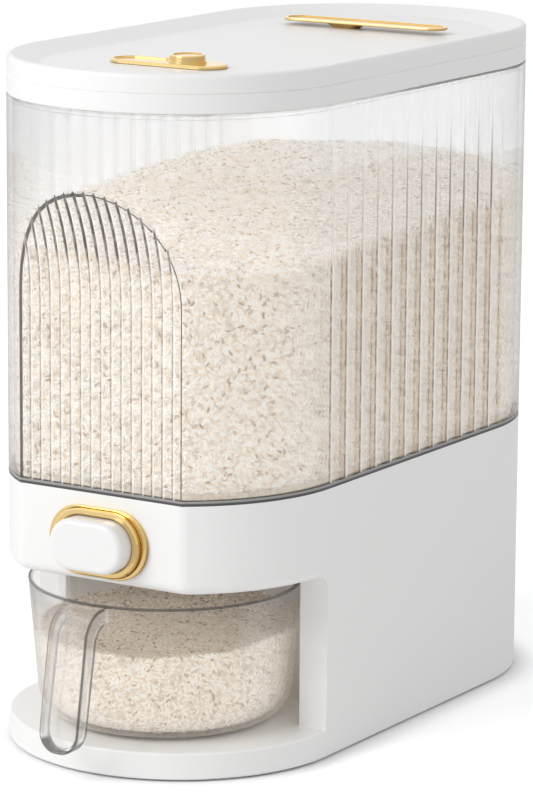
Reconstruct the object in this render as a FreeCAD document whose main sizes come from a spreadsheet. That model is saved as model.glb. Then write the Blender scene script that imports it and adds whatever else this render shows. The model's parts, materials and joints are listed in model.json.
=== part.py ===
"""Rice dispenser with a push-button gate and a pull-out measuring cup.

Millimetres, +Z up. The front, with the button and the cup, faces -Y.
Every sub-part is drawn about the centre of the oblong plan on the floor. Its placement
then moves it along Y, so that the origin is under the centre of the whole, cup handle included.
"""
import FreeCAD, Part
import math
import os
import re

import Sketcher
from FreeCAD import Vector

# Driving dimensions: name, value, what it is.
SIZES = [
    ("body_width", 180.0, "width of the oblong plan"),
    ("body_length", 358.0, "length of the oblong plan"),
    ("flat_inset", 14.8, "how far the front flat lies behind the foremost point"),
    ("foot_height", 1.0, "gap under the housing that the rubber feet leave"),
    ("deck_height", 15.2, "top of the deck that the cup stands on"),
    ("bay_ceiling", 97.0, "underside of the overhang above the cup"),
    ("housing_height", 143.5, "top edge of the white housing"),
    ("housing_wall", 3.0, "wall of the housing"),
    ("underside_round", 5.5, "rounding of the overhang's lower edge"),
    ("facet_round", 10.0, "rounding where the front flat meets the round front"),
    ("deck_round", 1.4, "rounding of the deck's edges"),
    ("bay_side_depth", 89.5, "how far back the open sides of the bay reach"),
    ("bay_radius", 75.0, "radius of the bay's curved back wall"),
    ("cup_setback", 75.0, "cup axis behind the foremost point"),
    ("gasket_thickness", 2.6, "height of the dark gasket band"),
    ("bin_wall", 3.0, "wall of the clear bin"),
    ("bin_height", 194.3, "height of the clear bin above the gasket"),
    ("bin_flange", 3.0, "thickness of the bin's bottom flange"),
    ("spigot_depth", 7.0, "how far the bin's spigot reaches into the housing"),
    ("spigot_wall", 2.0, "wall of the spigot"),
    ("scoop_height", 242.5, "level where the front flat starts to curve forward"),
    ("scoop_radius", 115.0, "radius of the forward curve above the flat"),
    ("reed_count", 15, "grooves between the reeds of the front flat"),
    ("reed_depth", 1.0, "depth of a reed groove"),
    ("reed_groove", 2.4, "width of a reed groove"),
    ("reed_overlap", 0.4, "how far the groove's cutter reaches outside the flat"),
    ("flute_count", 12, "soft flutes along each side of the bin"),
    ("flute_pitch", 15.0, "spacing of the side flutes"),
    ("flute_radius", 22.0, "radius of a side flute"),
    ("flute_depth", 0.8, "depth of a side flute"),
    ("flute_drop", 20.0, "how far below the bin's rim the flutes start to fade"),
    ("flute_fade", 320.0, "radius in which a flute runs out"),
    ("fit_gap", 0.3, "clearance between pieces that move or slide past each other"),
    ("lid_height", 19.8, "height of the lid at its rim"),
    ("collar_height", 9.8, "height of the lid's lower half, up to the seam"),
    ("lid_wall", 2.5, "skin of the lid"),
    ("lid_rim", 2.8, "flat rim around the lid's dish"),
    ("lid_round", 2.2, "rounding of the lid's upper edge"),
    ("dish_depth", 5.0, "depth of the lid's dished top"),
    ("dish_slope", 15.0, "width of the dish's sloping border"),
    ("dish_round", 6.0, "rounding at the foot of the dish"),
    ("seam_chamfer", 0.5, "half of the groove along the lid's front seam"),
    ("collar_wall", 2.4, "wall of the lid's lower half outside the bin's rim"),
    ("rim_height", 7.0, "how far the bin's stepped-in rim stands up inside the lid"),
    ("rim_wall", 2.2, "wall of the bin's stepped-in rim"),
    ("rim_shelf", 3.0, "thickness of the step that carries the rim"),
    ("skirt_wall", 2.2, "wall of the lid's skirt inside the bin's rim"),
    ("lip_height", 1.6, "height of the lip that carries the seal"),
    ("lip_inset", 0.4, "how far the lip lies inside the seal's outside"),
    ("seal_height", 4.0, "height of the lid seal"),
    ("seal_depth", 1.2, "how far the seal lies in the skirt"),
    ("panel_thickness", 2.0, "panel that closes the lid from below"),
    ("lid_boss_inset", 3.0, "distance from a lid boss to the hollow's wall"),
    ("lid_screw", 5.0, "how far the lid's screws reach beyond the panel"),
    ("driver_slack", 1.0, "room around a screw's head for the driver"),
    ("spout_length", 60.0, "width of the outlet slot, side to side"),
    ("outlet_setback", 87.0, "outlet centre behind the foremost point"),
    ("button_travel", 12.0, "how far the button is pushed"),
    ("gate_lap", 1.0, "how far the gate overlaps the outlet when shut"),
    ("gate_thickness", 2.5, "thickness of the sliding gate"),
    ("gate_margin", 5.0, "gate width beyond each end of the outlet"),
    ("gate_tail", 14.0, "length of the gate behind its slot"),
    ("collar_drop", 2.4, "how far the outlet's collar reaches below the overhang"),
    ("collar_lip", 1.2, "thickness of the collar's lip"),
    ("funnel_wall", 2.2, "wall of the funnel"),
    ("mouth_side", 6.0, "how far inside its rim the funnel's mouth lies at the sides"),
    ("mouth_rear", 10.0, "how far inside its rim the funnel's mouth lies behind"),
    ("mouth_front", 4.0, "how far ahead of the spring bracket the mouth starts"),
    ("mouth_cut_across", 0.52, "corner cut of the mouth across, as a share of half the width"),
    ("mouth_cut_along", 0.6, "corner cut of the mouth along, as a share of half the width"),
    ("throat_cut", 0.2, "corner cut of the outlet, as a share of its depth"),
    ("funnel_rim", 2.5, "thickness of the funnel's rim plate"),
    ("post_gap", 0.5, "how far the tip of a rib's post stays inside the funnel's edge"),
    ("stand_share", 0.9, "sideways place of the front stands, as a share of half the flat"),
    ("stand_setback", 12.0, "how far behind the front wall the front stands are"),
    ("button_level", 118.8, "height of the button's centre"),
    ("cap_width", 44.4, "width of the button cap"),
    ("cap_height", 27.0, "height of the button cap"),
    ("cap_reach", 14.8, "how far the cap stands out of the front flat"),
    ("cap_round", 3.0, "rounding of the button cap's face"),
    ("cap_wall", 2.0, "wall of the button cap"),
    ("cap_flange", 2.0, "flange that keeps the cap behind the liner"),
    ("cap_post", 3.2, "radius of the posts inside the cap"),
    ("cap_screw", 5.0, "how far the button's screws reach into the cap"),
    ("ring_width", 59.4, "width of the gold bezel"),
    ("ring_height", 36.4, "height of the gold bezel"),
    ("ring_band", 3.0, "width of the bezel's outer ring"),
    ("ring_squeeze", 0.3, "height of the bezel's band above and below, as a share of its width"),
    ("ring_round", 0.4, "rounding of the bezel's front edges"),
    ("ring_reach", 2.4, "how far the bezel stands out"),
    ("liner_reach", 5.3, "how far the inner ring stands out"),
    ("liner_bevel", 0.8, "bevel of the inner ring's front edges"),
    ("liner_wall", 1.6, "wall of the liner tube through the housing"),
    ("spring_level", 113.0, "height of the two return springs"),
    ("spring_spread", 48.0, "distance between the two return springs"),
    ("spring_radius", 3.4, "mean radius of a return spring"),
    ("spring_wire", 0.8, "wire of a return spring"),
    ("spring_turns", 6.0, "turns of a return spring"),
    ("spring_length", 20.0, "length of a return spring at rest"),
    ("pin_radius", 2.2, "radius of the pins inside the springs"),
    ("pin_length", 3.6, "length of the pins inside the springs"),
    ("rim_radius", 71.4, "outside radius of the cup at its rim"),
    ("base_radius", 65.4, "outside radius of the cup's wall run down to its floor"),
    ("cup_rim", 89.0, "level of the cup's rim"),
    ("cup_wall", 2.2, "wall of the cup"),
    ("cup_round", 18.0, "rounding between the cup's wall and floor"),
    ("grip_width", 24.0, "width of the cup's handle"),
    ("grip_reach", 16.5, "how far the top of the handle stands out from the rim"),
    ("grip_splay", 12.0, "how much further out the handle's tip is"),
    ("grip_depth", 8.0, "front-to-back depth of the handle"),
    ("grip_wall", 2.2, "wall of the handle's channel"),
    ("grip_bend", 16.0, "outer radius of the handle's bend"),
    ("grip_edge", 1.6, "rounding along the handle's outer edges"),
    ("grip_drop", 0.8, "how far the handle's top lies below the rim"),
    ("cup_travel", 200.0, "how far the cup pulls out"),
    ("bar_length", 101.5, "length of the lid handle's bar"),
    ("bar_width", 17.0, "width of the lid handle's bar"),
    ("bar_thickness", 1.7, "thickness of the lid handle's bar"),
    ("bar_dish", 0.7, "depth of the hollow in the bar"),
    ("bar_edge", 2.2, "width of the bar's raised edge"),
    ("bar_round", 0.6, "rounding of the bar's edges"),
    ("stem_length", 25.0, "length of the handle's foot under the bar"),
    ("stem_width", 11.0, "width of the handle's foot under the bar"),
    ("stem_height", 2.5, "height of the handle's foot"),
    ("stem_taper", 4.5, "how much shorter the foot is at the lid, at each end"),
    ("stem_waist", 1.35, "how much narrower the foot is at the lid, on each side"),
    ("stem_shift", 12.0, "how far the handle's foot stands to the left of the bar's middle"),
    ("bar_setback", 86.0, "handle centre ahead of the lid's rear end"),
    ("plate_length", 67.5, "length of the front lid plate"),
    ("plate_width", 22.0, "width of the front lid plate"),
    ("plate_thickness", 1.7, "thickness of the front lid plate"),
    ("plate_setback", 77.0, "front lid plate's centre behind the foremost point"),
    ("lobe_depth", 0.8, "depth of the finger hollow in the plate"),
    ("lobe_round", 0.5, "rounding at the foot of the finger hollow"),
    ("lobe_gap", 0.6, "band between the finger hollow and the knob"),
    ("plate_margin", 2.4, "band left around the finger hollow"),
    ("knob_radius", 9.8, "radius of the plate's knob"),
    ("knob_height", 4.2, "height of the knob"),
    ("knob_foot", 0.9, "height of the knob's wider foot"),
    ("knob_step", 0.7, "step between the knob and its foot, and its rounding"),
    ("knob_rim", 2.4, "width of the rim around the knob's hollow, from the foot inward"),
    ("knob_dip", 0.5, "depth of the knob's hollow"),
    ("knob_skin", 1.2, "skin of the knob above its screw"),
    ("knob_grip", 1.4, "how far the knob's screw reaches into the knob"),
    ("knob_shift", 11.5, "knob centre to the right of the plate's centre"),
    ("tub_length", 54.0, "length of the desiccant tub"),
    ("tub_width", 15.0, "width of the desiccant tub"),
    ("tub_depth", 24.0, "depth of the desiccant tub"),
    ("tub_wall", 1.4, "wall of the desiccant tub"),
    ("tub_flange", 2.4, "flange that carries the tub in the lid"),
    ("tub_vents", 5, "slots in the tub's floor"),
    ("vent_width", 2.0, "width of a slot in the tub's floor"),
    ("sachet_slack", 1.0, "room at each end of the sachet"),
    ("sachet_height", 12.0, "height of the sachet"),
    ("sachet_round", 2.0, "rounding of the sachet's upper edge"),
    ("plug_depth", 4.5, "how far the plate's plug reaches into the tub"),
    ("plug_gap", 1.5, "room between the plug and the tub's wall, which the seal takes"),
    ("plate_bevel", 0.7, "bevel of the front lid plate"),
    ("plate_seal_drop", 1.0, "how far below the plate its seal starts"),
    ("plate_seal_height", 2.0, "height of the plate's seal"),
    ("cover_thickness", 2.5, "thickness of the bottom cover"),
    ("boss_radius", 4.0, "radius of a screw boss"),
    ("cover_boss", 5.0, "radius of the bosses that take the cover screws"),
    ("screw_radius", 1.4, "shank radius of the screws"),
    ("head_radius", 2.9, "head radius of the screws"),
    ("head_height", 1.6, "head height of the screws"),
    ("screw_slack", 0.1, "clearance around a screw's shank"),
    ("foot_radius", 8.0, "radius of a rubber foot"),
    ("foot_socket", 1.0, "depth of a foot's seat in the cover"),
    ("foot_margin", 6.0, "distance from a foot to the housing's wall"),
    ("foot_across", 0.5, "sideways place of the end feet, as a share of their reach"),
    ("foot_along", 0.86, "lengthwise place of the end feet, as a share of their reach"),
    ("cover_lift", 0.2, "how far the cover lies above the housing's lower edge"),
    ("rail_width", 3.0, "width of a gate rail"),
    ("bracket_foot", 14.0, "length of the spring bracket's feet"),
    ("bracket_hole", 9.0, "distance from the bracket to its screws"),
    ("bracket_rise", 2.0, "height of the bracket above the springs"),
]

# Places and sizes that follow from the driving dimensions, each from those above it.
PLACES = [
    ("half_width", "body_width / 2"),
    ("half_length", "body_length / 2"),
    ("arc_run", "half_length - half_width"),
    ("flat_y", "flat_inset - half_length"),
    ("flat_half", "sqrt(half_width ^ 2 - (half_width - flat_inset) ^ 2)"),
    ("bay_side_y", "bay_side_depth - half_length"),
    ("cup_y", "cup_setback - half_length"),
    ("ceiling_top", "bay_ceiling + housing_wall"),
    ("bin_bottom", "housing_height + gasket_thickness"),
    ("bin_top", "bin_bottom + bin_height"),
    ("lid_bottom", "bin_top + fit_gap"),
    ("lid_seam", "lid_bottom + collar_height"),
    ("lid_top", "lid_bottom + lid_height"),
    ("dish_floor", "lid_top - dish_depth"),
    ("lid_inside", "dish_floor - lid_wall"),
    ("rim_inset", "collar_wall + fit_gap"),
    ("mouth_inset", "rim_inset + rim_wall"),
    ("skirt_inset", "mouth_inset + fit_gap"),
    ("scoop_y", "flat_y - scoop_radius"),
    ("scoop_angle", "asin(sqrt(2 * scoop_radius * flat_inset) / scoop_radius) + 4 deg"),
    ("reed_pitch", "2 * flat_half / (reed_count + 1)"),
    ("flute_start", "-flute_pitch * (flute_count - 1) / 2"),
    ("flute_level", "bin_top - flute_drop"),
    ("flute_angle", "acos(1 - 1.5 * flute_depth / flute_fade)"),
    ("outlet_y", "outlet_setback - half_length"),
    ("outlet_depth", "button_travel - gate_lap"),
    ("outlet_half", "outlet_depth / 2"),
    ("spout_half", "spout_length / 2"),
    ("gate_bottom", "ceiling_top + fit_gap"),
    ("gate_top", "gate_bottom + gate_thickness"),
    ("foot_plate_top", "gate_top + 2 * fit_gap + 1"),
    ("gate_half", "spout_half + gate_margin"),
    ("slot_y", "outlet_y - button_travel"),
    ("wall_back", "flat_y + housing_wall"),
    ("flange_front", "wall_back + fit_gap"),
    ("web_front", "flange_front + cap_wall"),
    ("web_back", "web_front + gate_thickness"),
    ("bracket_front", "web_back + spring_length"),
    ("cap_front", "flat_y - cap_reach"),
    ("liner_half_u", "cap_width / 2 + fit_gap + liner_wall"),
    ("liner_half_v", "cap_height / 2 + fit_gap + liner_wall"),
    ("cup_floor", "deck_height + fit_gap"),
    ("rim_y", "cup_y - rim_radius"),
    ("grip_top", "cup_rim - grip_drop"),
    ("grip_front", "rim_y - grip_reach"),
    ("tip_front", "grip_front - grip_splay"),
    ("bar_y", "half_length - bar_setback"),
    ("bar_bottom", "dish_floor + stem_height"),
    ("bar_top", "bar_bottom + bar_thickness"),
    ("plate_y", "plate_setback - half_length"),
    ("plate_bottom", "dish_floor + fit_gap"),
    ("plate_top", "plate_bottom + plate_thickness"),
    ("tub_bottom", "dish_floor - tub_depth"),
    ("cover_bottom", "foot_height + cover_lift"),
    ("cover_top", "cover_bottom + cover_thickness"),
    ("foot_top", "cover_bottom + foot_socket"),
    ("side_boss", "half_width - housing_wall - cover_boss + 1"),
    ("funnel_inset", "housing_wall + fit_gap + spigot_wall + fit_gap"),
    ("funnel_top", "housing_height - fit_gap"),
    ("post_top", "funnel_top - funnel_rim"),
    ("frame_shift", "-(half_length + tip_front) / 2"),
]

TOL = 0.01
EDGE_SLACK = 0.05
# Bosses for the cover's screws: under the deck, at the sides and round the rear end.
DECK_BOSSES = [(-52.0, -128.0), (52.0, -128.0)]
REAR_ANGLE = 50.0
SIDE_BOSS_Y = 10.0
# Places of the funnel's side ribs along the body.
RIB_PLACES = ["-arc_run / 2", "arc_run * 0.75"]

document = FreeCAD.newDocument("RiceDispenser")


def fill_sheet():
    """Write the driving dimensions into the spreadsheet, one row each."""
    sheet = document.addObject("Spreadsheet::Sheet", "Sizes")
    for row, (name, value, note) in enumerate(SIZES, start=1):
        sheet.set(f"A{row}", note)
        sheet.set(f"B{row}", str(value))
        sheet.setAlias(f"B{row}", name)
    document.recompute()
    return sheet


def bound(text):
    """Point the names in a formula at the sheet and at the derived places."""
    def owner(match):
        name = match.group(0)
        if name in SIZE_NAMES:
            return "Sizes." + name
        if name in PLACE_NAMES:
            return "Places." + name
        return name
    return re.sub(r"[a-z][a-z_]*[a-z]", owner, text)


def fill_places():
    """Derive the named places, each bound to the sheet."""
    places = document.addObject("App::VarSet", "Places")
    for name, text in PLACES:
        places.addProperty("App::PropertyFloat", name)
        places.setExpression(name, bound(text))
    document.recompute()
    return places


SIZE_NAMES = {name for name, value, note in SIZES}
PLACE_NAMES = {name for name, text in PLACES}
fill_sheet()
fill_places()
ruler = document.addObject("App::VarSet", "Ruler")
ruler.addProperty("App::PropertyFloat", "reading")


def number(text):
    """Read the value of a formula."""
    ruler.setExpression("reading", bound(text))
    ruler.recompute()
    return ruler.reading


def minus(text):
    return "-(" + text + ")"


# ---------------------------------------------------------------- sketches

def new_body(label):
    body = document.addObject("PartDesign::Body", label)
    body.Label = label
    document.recompute()
    return body


def new_sketch(body, plane, offset, origin=("0", "0")):
    """A sketch on one of the body's own planes; offset is along the plane's normal."""
    sketch = body.newObject("Sketcher::SketchObject", "Sketch")
    support = [item for item in body.Origin.OriginFeatures if item.Role == plane][0]
    sketch.AttachmentSupport = [(support, "")]
    sketch.MapMode = "FlatFace"
    sketch.setExpression(".AttachmentOffset.Base.x", bound(origin[0]))
    sketch.setExpression(".AttachmentOffset.Base.y", bound(origin[1]))
    sketch.setExpression(".AttachmentOffset.Base.z", bound(offset))
    return sketch


def pin(sketch, edge, end, u, v):
    """Fix a point of a sketch by its two bound coordinates; None leaves one free."""
    for kind, text, axis in (("DistanceX", u, -2), ("DistanceY", v, -1)):
        if text is None:
            continue
        value = number(text)
        if abs(value) < 1e-9:
            sketch.addConstraint(Sketcher.Constraint("PointOnObject", edge, end, axis))
        else:
            index = sketch.addConstraint(Sketcher.Constraint(kind, -1, 1, edge, end, value))
            sketch.setExpression(f"Constraints[{index}]", bound(text))


def join(sketch, count):
    for index in range(count):
        sketch.addConstraint(
            Sketcher.Constraint("Coincident", index, 2, (index + 1) % count, 1))


def point(u, v):
    return Vector(number(u), number(v), 0)


def outline(body, plane, offset, corners, origin=("0", "0")):
    """A closed outline of straight edges with bound corners."""
    sketch = new_sketch(body, plane, offset, origin)
    spots = [point(u, v) for u, v in corners]
    edges = [Part.LineSegment(a, b) for a, b in zip(spots, spots[1:] + spots[:1])]
    sketch.addGeometry(edges)
    join(sketch, len(edges))
    for index, (u, v) in enumerate(corners):
        pin(sketch, index, 1, u, v)
    return sketch


def rectangle(body, plane, offset, low, high, origin=("0", "0")):
    corners = [low, (high[0], low[1]), high, (low[0], high[1])]
    return outline(body, plane, offset, corners, origin)


def add_arc(sketch, centre, radius, start, end):
    """Add an arc that runs counter-clockwise between two angles in degrees."""
    circle = Part.Circle(centre, Vector(0, 0, 1), radius)
    sketch.addGeometry(Part.ArcOfCircle(circle, math.radians(start), math.radians(end)))


def circles(body, plane, offset, centres, radius, origin=("0", "0")):
    """Round outlines of one size."""
    sketch = new_sketch(body, plane, offset, origin)
    for index, (u, v) in enumerate(centres):
        sketch.addGeometry(Part.Circle(point(u, v), Vector(0, 0, 1), number(radius)))
        pin(sketch, index, 3, u, v)
        count = sketch.addConstraint(Sketcher.Constraint("Radius", index, number(radius)))
        sketch.setExpression(f"Constraints[{count}]", bound(radius))
    return sketch


def stadium(body, offset, half_width="half_width", half_length="half_length", centre_y="0"):
    """A closed oblong with round ends, its length along Y."""
    sketch = new_sketch(body, "XY_Plane", offset, ("0", centre_y))
    run = f"({half_length}) - ({half_width})"
    radius = number(half_width)
    reach = number(run)
    sketch.addGeometry(Part.LineSegment(Vector(radius, -reach, 0), Vector(radius, reach, 0)))
    add_arc(sketch, Vector(0, reach, 0), radius, 0, 180)
    sketch.addGeometry(Part.LineSegment(Vector(-radius, reach, 0), Vector(-radius, -reach, 0)))
    add_arc(sketch, Vector(0, -reach, 0), radius, 180, 360)
    join(sketch, 4)
    pin(sketch, 0, 1, half_width, minus(run))
    pin(sketch, 1, 1, half_width, run)
    pin(sketch, 2, 1, minus(half_width), run)
    pin(sketch, 3, 1, minus(half_width), minus(run))
    pin(sketch, 1, 3, None, run)
    pin(sketch, 3, 3, None, minus(run))
    return sketch


def pill(body, plane, offset, half_long, half_short, origin):
    """A closed oblong with round ends, its length along the sketch's first axis."""
    sketch = new_sketch(body, plane, offset, origin)
    run = f"({half_long}) - ({half_short})"
    radius = number(half_short)
    reach = number(run)
    sketch.addGeometry(Part.LineSegment(Vector(-reach, -radius, 0), Vector(reach, -radius, 0)))
    add_arc(sketch, Vector(reach, 0, 0), radius, -90, 90)
    sketch.addGeometry(Part.LineSegment(Vector(reach, radius, 0), Vector(-reach, radius, 0)))
    add_arc(sketch, Vector(-reach, 0, 0), radius, 90, 270)
    join(sketch, 4)
    pin(sketch, 0, 1, minus(run), minus(half_short))
    pin(sketch, 1, 1, run, minus(half_short))
    pin(sketch, 2, 1, run, half_short)
    pin(sketch, 3, 1, minus(run), half_short)
    pin(sketch, 1, 3, run, None)
    pin(sketch, 3, 3, minus(run), None)
    return sketch


def flat_stadium(body, offset, inset="0"):
    """The oblong plan with its front cut to a flat, drawn smaller by inset."""
    sketch = new_sketch(body, "XY_Plane", offset)
    side = f"half_width - ({inset})"
    front = f"flat_y + ({inset})"
    chord = f"sqrt(({side}) ^ 2 - ({front} + arc_run) ^ 2)"
    radius = number(side)
    reach = number("arc_run")
    half = number(chord)
    face = number(front)
    turn = math.degrees(math.atan2(face + reach, half))
    sketch.addGeometry(Part.LineSegment(Vector(-half, face, 0), Vector(half, face, 0)))
    add_arc(sketch, Vector(0, -reach, 0), radius, turn, 0)
    sketch.addGeometry(Part.LineSegment(Vector(radius, -reach, 0), Vector(radius, reach, 0)))
    add_arc(sketch, Vector(0, reach, 0), radius, 0, 180)
    sketch.addGeometry(Part.LineSegment(Vector(-radius, reach, 0), Vector(-radius, -reach, 0)))
    add_arc(sketch, Vector(0, -reach, 0), radius, 180, 180 - turn)
    join(sketch, 6)
    pin(sketch, 0, 1, minus(chord), front)
    pin(sketch, 1, 1, chord, front)
    pin(sketch, 2, 1, side, "-arc_run")
    pin(sketch, 3, 1, side, "arc_run")
    pin(sketch, 4, 1, minus(side), "arc_run")
    pin(sketch, 5, 1, minus(side), "-arc_run")
    pin(sketch, 1, 3, None, "-arc_run")
    pin(sketch, 3, 3, None, "arc_run")
    pin(sketch, 5, 3, None, "-arc_run")
    return sketch


# ---------------------------------------------------------------- features

def solid_feature(body, kind, sketch, length=None, reverse=False, midplane=False):
    feature = body.newObject(kind, kind.split("::")[1])
    feature.Profile = sketch
    if length is not None:
        feature.setExpression("Length", bound(length))
        if midplane:
            feature.SideType = "Symmetric"
    feature.Reversed = reverse
    return feature


def checked(body, feature, before, grows):
    """Recompute, and make sure that the feature changed the solid the right way."""
    document.recompute()
    change = body.Shape.Volume - before
    if (change > 0) != grows or abs(change) < 1e-3:
        raise RuntimeError(f"{body.Label}: {feature.Name} changed the volume by {change:.3f}")
    return feature


def volume(body):
    return 0.0 if body.Shape.isNull() else body.Shape.Volume


def pad(body, sketch, length, reverse=False, midplane=False):
    before = volume(body)
    feature = solid_feature(body, "PartDesign::Pad", sketch, length, reverse, midplane)
    return checked(body, feature, before, True)


def pocket(body, sketch, length, reverse=False, midplane=False):
    before = volume(body)
    feature = solid_feature(body, "PartDesign::Pocket", sketch, length, reverse, midplane)
    return checked(body, feature, before, False)


def turned(body, kind, sketch, axis, angle="360", reverse=False):
    """A Revolution or a Groove about one of the sketch's own axes."""
    before = volume(body)
    feature = solid_feature(body, kind, sketch, None, reverse)
    feature.ReferenceAxis = (sketch, [axis])
    feature.setExpression("Angle", bound(angle))
    return checked(body, feature, before, kind.endswith("Revolution"))


def lofted(body, kind, profile, section, grows):
    before = volume(body)
    feature = body.newObject(kind, kind.split("::")[1])
    feature.Profile = profile
    feature.Sections = [section]
    feature.Ruled = True
    return checked(body, feature, before, grows)


def row_of(body, feature, sketch, axis, length, count):
    """Repeat a cut along one axis of its sketch, spread over a length."""
    pattern = body.newObject("PartDesign::LinearPattern", "Row")
    pattern.Originals = [feature]
    pattern.Direction = (sketch, [axis])
    pattern.setExpression("Length", bound(length))
    pattern.setExpression("Occurrences", bound(count))
    body.Tip = pattern
    document.recompute()
    return pattern


def edges_where(shape, test):
    return [f"Edge{index}" for index, edge in enumerate(shape.Edges, start=1) if test(edge)]


def dress(body, kind, size, test):
    """Fillet or chamfer the edges of the body's last feature that pass a test."""
    base = body.Tip
    names = edges_where(base.Shape, test)
    if not names:
        raise RuntimeError(f"{body.Label}: no edge to dress with {size}")
    feature = body.newObject(kind, kind.split("::")[1])
    feature.Base = (base, names)
    feature.setExpression("Radius" if kind.endswith("Fillet") else "Size", bound(size))
    document.recompute()
    return feature


def fillet(body, size, test):
    return dress(body, "PartDesign::Fillet", size, test)


def chamfer(body, size, test):
    return dress(body, "PartDesign::Chamfer", size, test)


def level(z_text, inside=None):
    """A test for edges that lie at one height, and inside a box test if given."""
    height = number(z_text)

    def test(edge):
        box = edge.BoundBox
        if abs(box.ZMin - height) > TOL or abs(box.ZMax - height) > TOL:
            return False
        return inside is None or inside(box)
    return test


def upright(x_text, y_text):
    """A test for vertical edges at plus or minus x, and y."""
    x = number(x_text)
    y = number(y_text)

    def test(edge):
        box = edge.BoundBox
        thin = box.XLength < TOL and box.YLength < TOL
        return thin and abs(abs(box.XMin) - x) < TOL and abs(box.YMin - y) < TOL
    return test


def near_outline(half_width, half_length):
    """A box test for edges that reach the outside of an oblong outline."""
    side = number(half_width)
    reach = number(half_length)

    def test(box):
        on_side = max(abs(box.XMin), abs(box.XMax)) > side - EDGE_SLACK
        on_end = max(abs(box.YMin), abs(box.YMax)) > reach - EDGE_SLACK
        return on_side or on_end
    return test


def node_of_cut(label, base, tool):
    """A sub-part that is one solid cut by another."""
    cut = document.addObject("Part::Cut", label)
    cut.Base = base
    cut.Tool = tool
    cut.Label = label
    document.recompute()
    return cut


def fused(label, pieces):
    union = document.addObject("Part::MultiFuse", label)
    union.Shapes = pieces
    document.recompute()
    return union


def fixed_shape(label, shape):
    """A sub-part whose shape comes from Part's own functions."""
    feature = document.addObject("Part::Feature", label)
    feature.Label = label
    feature.Shape = shape
    return feature


def screw(length, head_up=True):
    """A pan-head screw at the origin; its shank points away from the head."""
    head_r = number("head_radius")
    head_h = number("head_height")
    shank_r = number("screw_radius")
    head = Part.makeCylinder(head_r, head_h)
    head = head.makeFillet(0.35 * head_h, [head.Edges[0]])
    slot = Part.makeBox(2 * head_r, 0.3 * head_r, 0.5 * head_h,
                        Vector(-head_r, -0.15 * head_r, 0.6 * head_h))
    shank = Part.makeCylinder(shank_r, length, Vector(0, 0, -length))
    tip = Part.makeCone(0.3 * shank_r, shank_r, shank_r, Vector(0, 0, -length - shank_r))
    shape = head.cut(slot).fuse([shank, tip]).removeSplitter()
    if not head_up:
        shape.rotate(Vector(0, 0, 0), Vector(1, 0, 0), 180)
    return shape


def group(label, shape, spots):
    """Identical pieces at several places, kept as separate solids in one sub-part."""
    copies = []
    for spot in spots:
        copy = shape.copy()
        copy.translate(spot)
        copies.append(copy)
    return fixed_shape(label, Part.makeCompound(copies))


# ---------------------------------------------------------------- housing

def boss_spots():
    """Centres of the six bosses that take the cover screws, as formulas."""
    spots = [(str(x), str(y)) for x, y in DECK_BOSSES]
    for side in ("-", ""):
        spots.append((f"{side}side_boss", str(SIDE_BOSS_Y)))
        spots.append((f"{side}side_boss * cos({REAR_ANGLE})",
                      f"arc_run + side_boss * sin({REAR_ANGLE})"))
    return spots


def funnel_posts(body):
    """Ribs that carry the funnel's rim: four on the side walls, one behind, two in front."""
    low = "housing_height - spigot_depth - fit_gap"
    wall = "half_width - housing_wall / 2"
    tip = "half_width - funnel_inset - post_gap"
    root = "half_width - funnel_inset - boss_radius"
    half = "housing_wall / 2"
    for side in ("-", ""):
        for along in RIB_PLACES:
            rib = rectangle(body, "XY_Plane", low, (f"{side}({root})", f"-{half}"),
                            (f"{side}({wall})", half), ("0", along))
            pad(body, rib, f"{low} - ceiling_top", reverse=True)
            post = rectangle(body, "XY_Plane", "post_top", (f"{side}({root})", f"-{half}"),
                             (f"{side}({tip})", half), ("0", along))
            pad(body, post, f"post_top - ({low}) + 1", reverse=True)
        stand = circles(body, "XY_Plane", "ceiling_top",
                        [(f"{side}flat_half * stand_share", "wall_back + stand_setback")],
                        "boss_radius")
        pad(body, stand, "post_top - ceiling_top")
    rib = rectangle(body, "XY_Plane", low, (f"-{half}", root), (half, wall), ("0", "arc_run"))
    pad(body, rib, f"{low} - ceiling_top", reverse=True)
    post = rectangle(body, "XY_Plane", "post_top", (f"-{half}", root), (half, tip), ("0", "arc_run"))
    pad(body, post, f"post_top - ({low}) + 1", reverse=True)


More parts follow.
